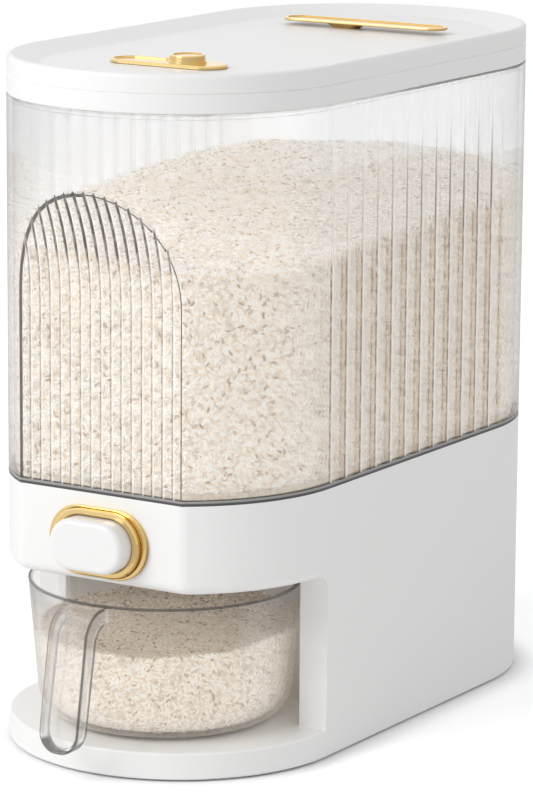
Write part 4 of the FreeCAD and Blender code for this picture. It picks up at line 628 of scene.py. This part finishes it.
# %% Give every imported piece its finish
POLISHED_LID_PIECES = ("handle_bar", "handle_foot", "lid_plate", "plate_knob")
FINISHES = {
    "housing_white": housing_plastic, "lid_white": lid_plastic, "button_white": button_plastic,
    "bin_clear": bin_plastic, "cup_clear": cup_plastic, "gasket_grey": gasket_rubber,
    "gold_trim": gold_ring, "inner_white": inner_plastic, "seal_silicone": silicone,
    "feet_rubber": feet_rubber, "screw_steel": screw_steel, "spring_steel": spring_steel,
    "sachet_paper": sachet_paper,
}
for part in frame["record"]["subparts"]:
    piece = frame["nodes"][part["node"]]
    finish = FINISHES[part["material_slot"]]
    if part["node"] in POLISHED_LID_PIECES:
        finish = gold_lid
    piece.data.materials.clear()
    piece.data.materials.append(finish)

# %% [markdown]
# ## The shape of the rice
# Rice takes the shape of what holds it. Against the walls it copies the bin's
# oblong plan, its front flat and the forward curve above the flat. On top it lies
# in a low, uneven heap, higher at the left and the back, as it was poured. These
# formulas say where the wall and the surface are, and both the solid core and the
# single grains use them. The surface adds a ridge and lumps to the level that the
# bin's finish already uses.

# %% Walls and surface of the rice in the bin
BIN_WALL = 3.0 * MM
WALL_PLAY = 0.25 * MM
HEAP_MM = 3.0
SLOPE_START = 60 * MM
SLOPE_RUN = 110 * MM
BIN_LUMPS = ((0.3, 22, 2.6), (0.9, 60, 1.2))
wall_gap = BIN_WALL + WALL_PLAY


def front_limit(z):
    """How far forward the inside of the front wall reaches at a height."""
    rise = max(0.0, z - SCOOP_START)
    radius = SCOOP_RADIUS + wall_gap
    curve = radius - math.sqrt(max(0.0, radius * radius - rise * rise))
    return flat_y + wall_gap - curve


def lumps(x, y, layers):
    """Smooth lumps in millimetres; a layer is a seed, a fineness and a height."""
    return sum(noise.noise(Vector((x, y, seed)) * fineness) * height
               for seed, fineness, height in layers)


def rice_surface(x, y):
    """Height of the rice: its level, a low ridge, a slope at the left rear and lumps."""
    across = x / half_width
    along = max(0.0, y - bin_middle_y - SLOPE_START) / SLOPE_RUN
    heap = HEAP_MM * (1 - across * across) - HEAP_MM * along * along * (1 - across)
    return rice_level(x, y) + (heap + lumps(x, y, BIN_LUMPS)) * MM


print("rice level in the middle", round(rice_surface(0, bin_middle_y), 4))

# %% [markdown]
# ## What the rice is made of
# Polished rice is pale and lets some light through. Light that wanders between the
# grains would be slow to trace, so a weak glow stands in for it. Every grain has a
# tone of its own, stored on its points, and a colour ramp turns it into a tint.
# Grains behind the plastic are warmer, those on the lit heap are paler, and those
# on top of the cup lie in the shade. The core has cells of the size of a grain.

# %% Rice materials
def rice_material(name, light, mid, dark, glow):
    """Pale grains, each with its own tone; a weak glow stands in for their translucency."""
    tree = Tree(name)
    tone = tree.new("ShaderNodeAttribute", {"attribute_name": "tone"})
    drift = tree.noise(tree.coords(), scale=900.0)
    grain = Value(tree, tone.outputs["Fac"]) + (drift - 0.5) * 0.25
    ramp = tree.new("ShaderNodeValToRGB", {"stops": [
        (0.025, dark[:3]), (0.14, mid[:3]), (0.7, light[:3]), (1.0, light[:3])]}, grain)
    tree.principled(Base_Color=ramp.outputs[0], Roughness=drift * 0.2 + 0.45,
                    Emission_Color=rgb(247, 243, 236), Emission_Strength=glow,
                    Normal=tree.bump(drift, strength=0.25, depth=0.0002))
    return tree.material


def core_material(name, glow):
    """A dull, glowing core with cells instead of grains."""
    tree = Tree(name)
    cells = tree.new("ShaderNodeTexVoronoi", {"feature": "F1"}, tree.coords(), Scale=420.0)
    shade = Value(tree, cells.outputs["Distance"])
    # Each cell is darker towards its edge: painted shade in the gaps between grains.
    colour = tree.mix((shade * 1.4).clamped(), rgb(236, 228, 216), rgb(212, 198, 178))
    tree.principled(Base_Color=colour, Roughness=0.75, Emission_Color=rgb(246, 238, 226),
                    Emission_Strength=glow,
                    Normal=tree.bump(shade, strength=0.3, depth=0.001))
    return tree.material


bin_grains = rice_material("rice_grain_bin", light=rgb(250, 246, 240), mid=rgb(208, 195, 179),
                           dark=rgb(164, 140, 112), glow=0.18)
heap_grains = rice_material("rice_grain_heap", light=rgb(249, 247, 244), mid=rgb(218, 210, 200),
                            dark=rgb(168, 146, 120), glow=0.23)
cup_grains = rice_material("rice_grain_cup", light=rgb(249, 244, 237), mid=rgb(209, 196, 180),
                           dark=rgb(164, 141, 114), glow=0.19)
shaded_grains = rice_material("rice_grain_shaded", light=rgb(228, 216, 202),
                              mid=rgb(202, 188, 172), dark=rgb(130, 108, 82), glow=0.05)
bin_core = core_material("rice_core_bin", glow=0.3)
cup_core = core_material("rice_core_cup", glow=0.24)
print("rice materials made")

# %% [markdown]
# ## The core
# The core fills the space behind the visible grains. It starts as a short cylinder.
# Its front half is slid forward and its rear half back to make the oblong, level
# cuts give it rows of points, and the points then move to the front wall and to the
# surface. Without it, light would fall through the gaps between the grains.

# %% Build the core in the bin
CORE_INSET = 1.3 * MM
CORE_BELOW = 2.0 * MM
CORE_LIFT = 0.4 * MM
ROUND_STEPS = 96
SLICES = 24


def finish_mesh(name, bm):
    """Make a mesh of an edit mesh and free the edit mesh."""
    mesh = bpy.data.meshes.new(name)
    bm.to_mesh(mesh)
    bm.free()
    return mesh


def link(name, mesh, material):
    """Put a mesh with its material into the scene as an object."""
    piece = bpy.data.objects.new(name, mesh)
    mesh.materials.append(material)
    bpy.context.scene.collection.objects.link(piece)
    return piece


core_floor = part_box("funnel")[1].z + CORE_LIFT
radius = half_width - wall_gap - CORE_INSET
bm = bmesh.new()
bmesh.ops.create_cone(bm, cap_ends=True, segments=ROUND_STEPS, radius1=radius, radius2=radius,
                      depth=1.0)
for vert in bm.verts:
    vert.co.z += 0.5
    vert.co.y += bin_middle_y + (arc_run if vert.co.y > 0.0001 else -arc_run)
top = [face for face in bm.faces if face.normal.z > 0.5]
bottom = [face for face in bm.faces if face.normal.z < -0.5]
bmesh.ops.delete(bm, geom=top, context="FACES_ONLY")
bmesh.ops.delete(bm, geom=bottom, context="FACES_ONLY")
for index in range(1, SLICES):
    geometry = bm.verts[:] + bm.edges[:] + bm.faces[:]
    bmesh.ops.bisect_plane(bm, geom=geometry, plane_co=(0, 0, index / SLICES),
                           plane_no=(0, 0, 1))
rim = [edge for edge in bm.edges if edge.is_boundary and edge.verts[0].co.z > 0.99]
base = [edge for edge in bm.edges if edge.is_boundary and edge.verts[0].co.z < 0.01]
lid_faces = bmesh.ops.contextual_create(bm, geom=rim)["faces"]
bmesh.ops.contextual_create(bm, geom=base)
bmesh.ops.triangulate(bm, faces=lid_faces)
for vert in bm.verts:
    share = vert.co.z
    height = rice_surface(vert.co.x, vert.co.y) - CORE_BELOW
    vert.co.z = core_floor + (height - core_floor) * share
    vert.co.y = max(vert.co.y, front_limit(vert.co.z) + CORE_INSET)
bmesh.ops.recalc_face_normals(bm, faces=bm.faces)
mesh = finish_mesh("rice_core_bin", bm)
core = link("rice_core_bin", mesh, bin_core)
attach(core, "housing")
print("core faces", len(mesh.polygons))

# %% [markdown]
# ## Single grains
# A grain is a stretched icosahedron: twenty faces are enough at this size. Each
# visible skin of the rice, along the walls and over the heap, is paved with copies
# on a jittered grid, and each copy gets a random turn, tilt, size and tone. The
# copies are stamped into a few meshes, because thousands of objects would be slow.

# %% The grain and the stamp
SEED = 17
GRAIN_HALF = Vector((1.95, 0.7, 0.55)) * MM
GRAIN_TAPER = 0.25
SMALLEST, LARGEST = 0.86, 1.1
TONE_POWER = 0.8
rng = np.random.default_rng(SEED)

bm = bmesh.new()
bmesh.ops.create_icosphere(bm, subdivisions=1, radius=1.0)
bmesh.ops.scale(bm, vec=GRAIN_HALF, verts=bm.verts)
for vert in bm.verts:
    taper = 1 - GRAIN_TAPER * (vert.co.x / GRAIN_HALF.x) ** 2
    vert.co.y *= taper
    vert.co.z *= taper
bm.verts.ensure_lookup_table()
grain_points = np.array([vert.co[:] for vert in bm.verts])
grain_faces = np.array([[vert.index for vert in face.verts] for face in bm.faces])
bm.free()


def unit(vectors):
    """Rows of vectors, each scaled to length one."""
    return vectors / np.linalg.norm(vectors, axis=1)[:, None]


def stamp_grains(name, places, normals, tilt, body, finish, scale=1.0):
    """One mesh of grains that lie flat on a skin, with random turns and tones."""
    count = len(places)
    normals = unit(np.asarray(normals))
    aside = unit(np.cross(normals, rng.normal(size=(count, 3))))
    lean = np.tan(rng.uniform(-tilt, tilt, count))[:, None]
    along = unit(aside + normals * lean)
    across = unit(np.cross(normals, along))
    upward = np.cross(along, across)
    size = rng.uniform(SMALLEST, LARGEST, (count, 1, 1)) * scale
    local = grain_points[None, :, :] * size
    points = (np.asarray(places)[:, None, :] + local[:, :, 0:1] * along[:, None, :]
              + local[:, :, 1:2] * across[:, None, :] + local[:, :, 2:3] * upward[:, None, :])
    step = len(grain_points)
    faces = grain_faces[None, :, :] + (np.arange(count) * step)[:, None, None]
    mesh = bpy.data.meshes.new(name)
    mesh.vertices.add(count * step)
    mesh.vertices.foreach_set("co", points.reshape(-1).astype(np.float32))
    total = count * len(grain_faces)
    mesh.loops.add(total * 3)
    mesh.loops.foreach_set("vertex_index", faces.reshape(-1).astype(np.int32))
    mesh.polygons.add(total)
    mesh.polygons.foreach_set("loop_start", np.arange(total, dtype=np.int32) * 3)
    mesh.polygons.foreach_set("use_smooth", np.ones(total, dtype=bool))
    mesh.update()
    mesh.validate()
    tones = rng.uniform(0.0, 1.0, count) ** TONE_POWER
    layer = mesh.attributes.new("tone", "FLOAT", "POINT")
    layer.data.foreach_set("value", np.repeat(tones, step).astype(np.float32))
    piece = link(name, mesh, finish)
    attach(piece, body)
    print(name, count, "grains,", total, "triangles")


print("grain of", len(grain_points), "points and", len(grain_faces), "faces")

# %% [markdown]
# ## Grains along the bin's walls
# The wall is paved column by column, walking round the oblong plan, and each column
# ends at the surface of the rice. Where the plan would run through the cut-off
# front, the grain is put on the flat instead. Four meshes share the grains, so that
# none is large.

# %% Pave the bin's walls with grains
SPACING = 1.9 * MM
SKIN = 0.8 * MM
LOWEST_ROW, HIGHEST_ROW = 13 * MM, 300 * MM
TOP_PLAY = 0.5 * MM
WALL_DEPTH = 0.9 * MM
WALL_MESHES = 4
WALL_TILT = 0.16


def plan_point(distance, radius):
    """A point and its outward direction, a distance along the oblong plan."""
    arc = math.pi * radius
    straight = 2 * arc_run
    distance = distance % (2 * (arc + straight))
    if distance < arc:
        angle = distance / radius
        return (radius * math.cos(angle), arc_run + radius * math.sin(angle),
                math.cos(angle), math.sin(angle))
    distance -= arc
    if distance < straight:
        return -radius, arc_run - distance, -1.0, 0.0
    distance -= straight
    if distance < arc:
        angle = math.pi + distance / radius
        return (radius * math.cos(angle), -arc_run + radius * math.sin(angle),
                math.cos(angle), math.sin(angle))
    distance -= arc
    return radius, -arc_run + distance, 1.0, 0.0


skin_radius = half_width - wall_gap - SKIN
girth = 2 * (math.pi * skin_radius + 2 * arc_run)
places, normals = [], []
for step in np.arange(0, girth, SPACING):
    for z in np.arange(bin_low.z + LOWEST_ROW, HIGHEST_ROW, SPACING):
        jitter = rng.uniform(-0.5, 0.5, 3)
        x, y, nx, ny = plan_point(step + jitter[0] * SPACING, skin_radius)
        y += bin_middle_y
        height = z + jitter[1] * SPACING
        if height > rice_surface(x, y) - TOP_PLAY:
            continue
        front = front_limit(height) + SKIN
        if y < front:
            y, nx, ny = front, 0.0, -1.0
        inward = (jitter[2] + 0.5) * WALL_DEPTH
        places.append((x - nx * inward, y - ny * inward, height))
        normals.append((nx, ny, 0.0))
share = len(places) // WALL_MESHES
for index, start in enumerate(range(0, len(places), share + 1)):
    end = start + share + 1
    stamp_grains(f"rice_wall_{index}", places[start:end], normals[start:end], WALL_TILT,
                 "housing", bin_grains)

# %% [markdown]
# ## Grains on the heap
# A heap is paved on a square grid seen from above. A small function says how high
# the rice is at a place, or that the place is outside, so the same loop serves the
# bin and the cup. Grains on a heap point more freely than those against a wall.

# %% Pave the heap with grains
HEAP_INSET = 1.2 * MM
HEAP_DEPTH = 1.4 * MM
HEAP_TILT = 0.4
SWAY = 0.2


def pave_heap(half_x, half_y, middle_y, spacing, depth, top_of):
    """Places and normals of grains on a heap; top_of is None where there is no rice."""
    places, normals = [], []
    for x in np.arange(-half_x, half_x, spacing):
        for y in np.arange(-half_y, half_y, spacing):
            jitter = rng.uniform(-0.5, 0.5, 3)
            px = x + jitter[0] * spacing
            py = y + jitter[1] * spacing
            top = top_of(px, py)
            if top is None:
                continue
            places.append((px, py + middle_y, top + jitter[2] * depth))
            normals.append((rng.normal() * SWAY, rng.normal() * SWAY, 1.0))
    return places, normals


def bin_top_of(px, py):
    """Height of the rice at a place counted from the bin's middle, or None outside."""
    beyond = max(0.0, abs(py) - arc_run)
    if math.hypot(px, beyond) > skin_radius - HEAP_INSET:
        return None
    top = rice_surface(px, py + bin_middle_y)
    if py + bin_middle_y < front_limit(top) + SKIN + HEAP_INSET:
        return None
    return top


places, normals = pave_heap(skin_radius, arc_run + skin_radius, bin_middle_y, SPACING,
                            HEAP_DEPTH, bin_top_of)
half = len(places) // 2
stamp_grains("rice_heap_left", places[:half], normals[:half], HEAP_TILT, "housing", heap_grains)
stamp_grains("rice_heap_right", places[half:], normals[half:], HEAP_TILT, "housing",
             heap_grains)

# %% [markdown]
# ## Rice in the cup
# The cup holds a few scoops. The inside of its wall leans outwards and rounds into
# the floor, so the same two steps, core and grains, follow a turned profile. The
# core is a circle that is drawn up ring by ring; the rings lie closer together
# where the wall rounds into the floor.

# %% Build the core in the cup
BASE_RADIUS = 65.4 * MM
CUP_WALL = 2.2 * MM
CUP_ROUND = 15.8 * MM
CUP_FILL_MM = 63.5
MOUND_MM, MOUND_SHARPNESS = 11.0, 2.2
MOUND_BACK = 12 * MM
CUP_TILT_MM = 2.0
CUP_LUMPS = ((2.3, 40, 1.8), (4.1, 110, 0.8))
RING_SHARES = [0.0, 0.03, 0.08, 0.15, 0.24, 0.34, 0.5, 0.75, 1.0]
RING_STEPS = 72
CUP_CORE_REACH_MM = 60
CUP_CORE_INSET = 2.2 * MM
CUP_CORE_BELOW = 1.8 * MM
CUP_CORE_LIFT = 0.6 * MM
cup_floor = cup_low.z + CUP_WALL


def cup_inside(z):
    """Inside radius of the cup at a height."""
    lean = (z - cup_low.z) / (cup_high.z - cup_low.z)
    side = BASE_RADIUS + (RIM_RADIUS - BASE_RADIUS) * lean - CUP_WALL
    short = cup_floor + CUP_ROUND - z
    if short <= 0:
        return side
    return side - CUP_ROUND + math.sqrt(max(0.0, CUP_ROUND ** 2 - short ** 2))


def cup_surface(x, y):
    """Height of the rice in the cup, from its axis: a soft mound behind the middle."""
    away = math.hypot(x, y - MOUND_BACK) / RIM_RADIUS
    mound = MOUND_MM * math.exp(-MOUND_SHARPNESS * away * away)
    tilt = CUP_TILT_MM * y / RIM_RADIUS
    return (CUP_FILL_MM + mound + tilt + lumps(x, y, CUP_LUMPS)) * MM


bm = bmesh.new()
bmesh.ops.create_circle(bm, cap_ends=False, segments=RING_STEPS, radius=1.0)
ring = bm.edges[:]
for _ in RING_SHARES[1:]:
    made = bmesh.ops.extrude_edge_only(bm, edges=ring)["geom"]
    ring = [item for item in made if isinstance(item, bmesh.types.BMEdge)]
    moved = [item for item in made if isinstance(item, bmesh.types.BMVert)]
    bmesh.ops.translate(bm, vec=(0, 0, 1.0), verts=moved)
bmesh.ops.holes_fill(bm, edges=[edge for edge in bm.edges if edge.is_boundary])
for vert in bm.verts:
    share = RING_SHARES[round(vert.co.z)]
    height = cup_surface(vert.co.x * CUP_CORE_REACH_MM * MM,
                         vert.co.y * CUP_CORE_REACH_MM * MM) - CUP_CORE_BELOW
    z = cup_floor + CUP_CORE_LIFT + (height - cup_floor - CUP_CORE_LIFT) * share
    reach = cup_inside(z) - CUP_CORE_INSET
    vert.co = Vector((vert.co.x * reach, vert.co.y * reach + cup_axis_y, z))
bmesh.ops.recalc_face_normals(bm, faces=bm.faces)
mesh = finish_mesh("rice_core_cup", bm)
core = link("rice_core_cup", mesh, cup_core)
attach(core, "cup")
print("cup core faces", len(mesh.polygons))

# %% [markdown]
# ## Grains in the cup
# The bin's thick wall magnifies the rice behind it and the cup's thin wall hardly
# does, so the grains here are a little smaller and closer. Along the wall they
# follow the profile's slope. The grains on top are a piece of their own, because
# they lie in the shade of the housing.

# %% Pave the cup with grains
CUP_SPACING = 1.6 * MM
CUP_GRAIN = 0.82
CUP_PLAY = 0.2 * MM
CUP_LOWEST, CUP_FIRST_ROW, CUP_LAST_ROW = 1.5 * MM, 2.0 * MM, 74 * MM
CUP_WALL_DEPTH = 0.8 * MM
CUP_TOP_HEIGHT = 63 * MM
CUP_WALL_TILT, CUP_TOP_TILT = 0.2, 0.3
places, normals = [], []
for z in np.arange(cup_floor + CUP_FIRST_ROW, CUP_LAST_ROW, CUP_SPACING):
    reach = cup_inside(z) - SKIN - CUP_PLAY
    for angle in np.arange(0, 2 * math.pi, CUP_SPACING / reach):
        jitter = rng.uniform(-0.5, 0.5, 3)
        turn = angle + jitter[0] * CUP_SPACING / reach
        height = z + jitter[1] * CUP_SPACING
        reach_here = cup_inside(height) - SKIN - CUP_PLAY
        nx, ny = math.cos(turn), math.sin(turn)
        x, y = reach_here * nx, reach_here * ny
        if height > cup_surface(x, y) - TOP_PLAY or height < cup_floor + CUP_LOWEST:
            continue
        slope = (cup_inside(height + MM) - cup_inside(height - MM)) / (2 * MM)
        inward = (jitter[2] + 0.5) * CUP_WALL_DEPTH
        places.append((x - nx * inward, y - ny * inward + cup_axis_y, height))
        normals.append((nx, ny, -slope))
stamp_grains("rice_cup_wall", places, normals, CUP_WALL_TILT, "cup", cup_grains, CUP_GRAIN)

reach = cup_inside(CUP_TOP_HEIGHT) - CUP_CORE_INSET


def cup_top_of(px, py):
    """Height of the rice at a place counted from the cup's axis, or None outside."""
    return None if math.hypot(px, py) > reach else cup_surface(px, py)


places, normals = pave_heap(reach, reach, cup_axis_y, CUP_SPACING, MM, cup_top_of)
stamp_grains("rice_cup_top", places, normals, CUP_TOP_TILT, "cup", shaded_grains, CUP_GRAIN)

# %% [markdown]
# ## The floor
# The floor of a studio is a white sweep that runs out of the picture. It glows a
# little for the camera, so that it looks pure white without lighting the object
# from below. Close to the foot of the housing the glow is taken away, which paints a
# contact shadow round the foot and lets the floor darken in the object's own shade;
# this seats the object on it.

# %% Floor
FLOOR_SIZE = 8.0
FLOOR_GLOW = 0.33
CONTACT_START, CONTACT_END = -3 * MM, 22 * MM
CONTACT_POWER = 1.5
bm = bmesh.new()
bmesh.ops.create_grid(bm, x_segments=1, y_segments=1, size=FLOOR_SIZE)
mesh = finish_mesh("floor", bm)
half_foot = housing_high.x
foot_y = (housing_low.y + housing_high.y) / 2
foot_run = (housing_high.y - housing_low.y) / 2 - half_foot
tree = Tree("floor_paint")
x, y = tree.place()[:2]
# Near the foot the glow is taken away: a painted contact shadow.
from_foot = oblong_reach(x, y, foot_y, foot_run) - half_foot
painted_contact_shadow = (1.0 - from_foot.ramp(CONTACT_START, CONTACT_END)).power(CONTACT_POWER)
glow_colour = tree.mix(painted_contact_shadow, rgb(255, 255, 255), rgb(0, 0, 0))
shade = tree.new("ShaderNodeBsdfDiffuse", {}, rgb(252, 252, 252))
path = tree.new("ShaderNodeLightPath", {})
seen = Value(tree, path.outputs["Is Camera Ray"]).largest(path.outputs["Is Transmission Ray"])
glow = tree.new("ShaderNodeEmission", {}, glow_colour, seen * FLOOR_GLOW)
both = tree.new("ShaderNodeAddShader", {}, shade.outputs[0], glow.outputs[0])
tree.links.new(both.outputs[0], tree.output.inputs[0])
floor = link("floor", mesh, tree.material)
print("floor laid")

# %% [markdown]
# ## The world
# The room is white all round. Seen by the camera, through the clear plastic and in
# reflections it is pure white, but it lights the object at a lower level. The light
# path node tells the rays apart: its output for a kind of ray is one for such a ray,
# and the largest of the three outputs picks the bright level.

# %% World
WORLD_LIGHT = 0.66
world = bpy.data.worlds.new("studio")
bpy.context.scene.world = world
world.use_nodes = True
nodes = world.node_tree.nodes
links = world.node_tree.links
nodes.clear()
path = nodes.new("ShaderNodeLightPath")
seen = path.outputs["Is Camera Ray"]
for ray in ("Is Transmission Ray", "Is Glossy Ray"):
    either = nodes.new("ShaderNodeMath")
    either.operation = "MAXIMUM"
    links.new(seen, either.inputs[0])
    links.new(path.outputs[ray], either.inputs[1])
    seen = either.outputs[0]
strength = nodes.new("ShaderNodeMapRange")
links.new(seen, strength.inputs[0])
strength.inputs["To Min"].default_value = WORLD_LIGHT
strength.inputs["To Max"].default_value = 1.0
sky = nodes.new("ShaderNodeBackground")
sky.inputs["Color"].default_value = (1, 1, 1, 1)
links.new(strength.outputs[0], sky.inputs["Strength"])
out = nodes.new("ShaderNodeOutputWorld")
links.new(sky.outputs[0], out.inputs[0])
print("world light", WORLD_LIGHT, "to", strength.inputs["To Max"].default_value)

# %% [markdown]
# ## The lamp
# One large soft lamp stands in front, to the left of the object. It lights the
# button and the cup and leaves the long side a little darker, which shows the
# housing's shape. A large lamp gives soft edges to the shadows.

# %% Lamp
def softbox(name, place, aim, size, power):
    """A square area lamp that faces a point."""
    data = bpy.data.lights.new(name, "AREA")
    data.shape = "SQUARE"
    data.size = size
    data.energy = power
    lamp = bpy.data.objects.new(name, data)
    lamp.location = place
    direction = Vector(aim) - Vector(place)
    lamp.rotation_euler = direction.to_track_quat("-Z", "Y").to_euler()
    bpy.context.scene.collection.objects.link(lamp)


softbox("key_lamp", place=(-1.0, -2.1, 1.65), aim=(0, 0, 0.2), size=1.4, power=30)
print("lamp lit")

# %% [markdown]
# ## Colours
# The standard view keeps the whites of the picture as they are lit.

# %% Colour handling
bpy.context.scene.view_settings.view_transform = "Standard"
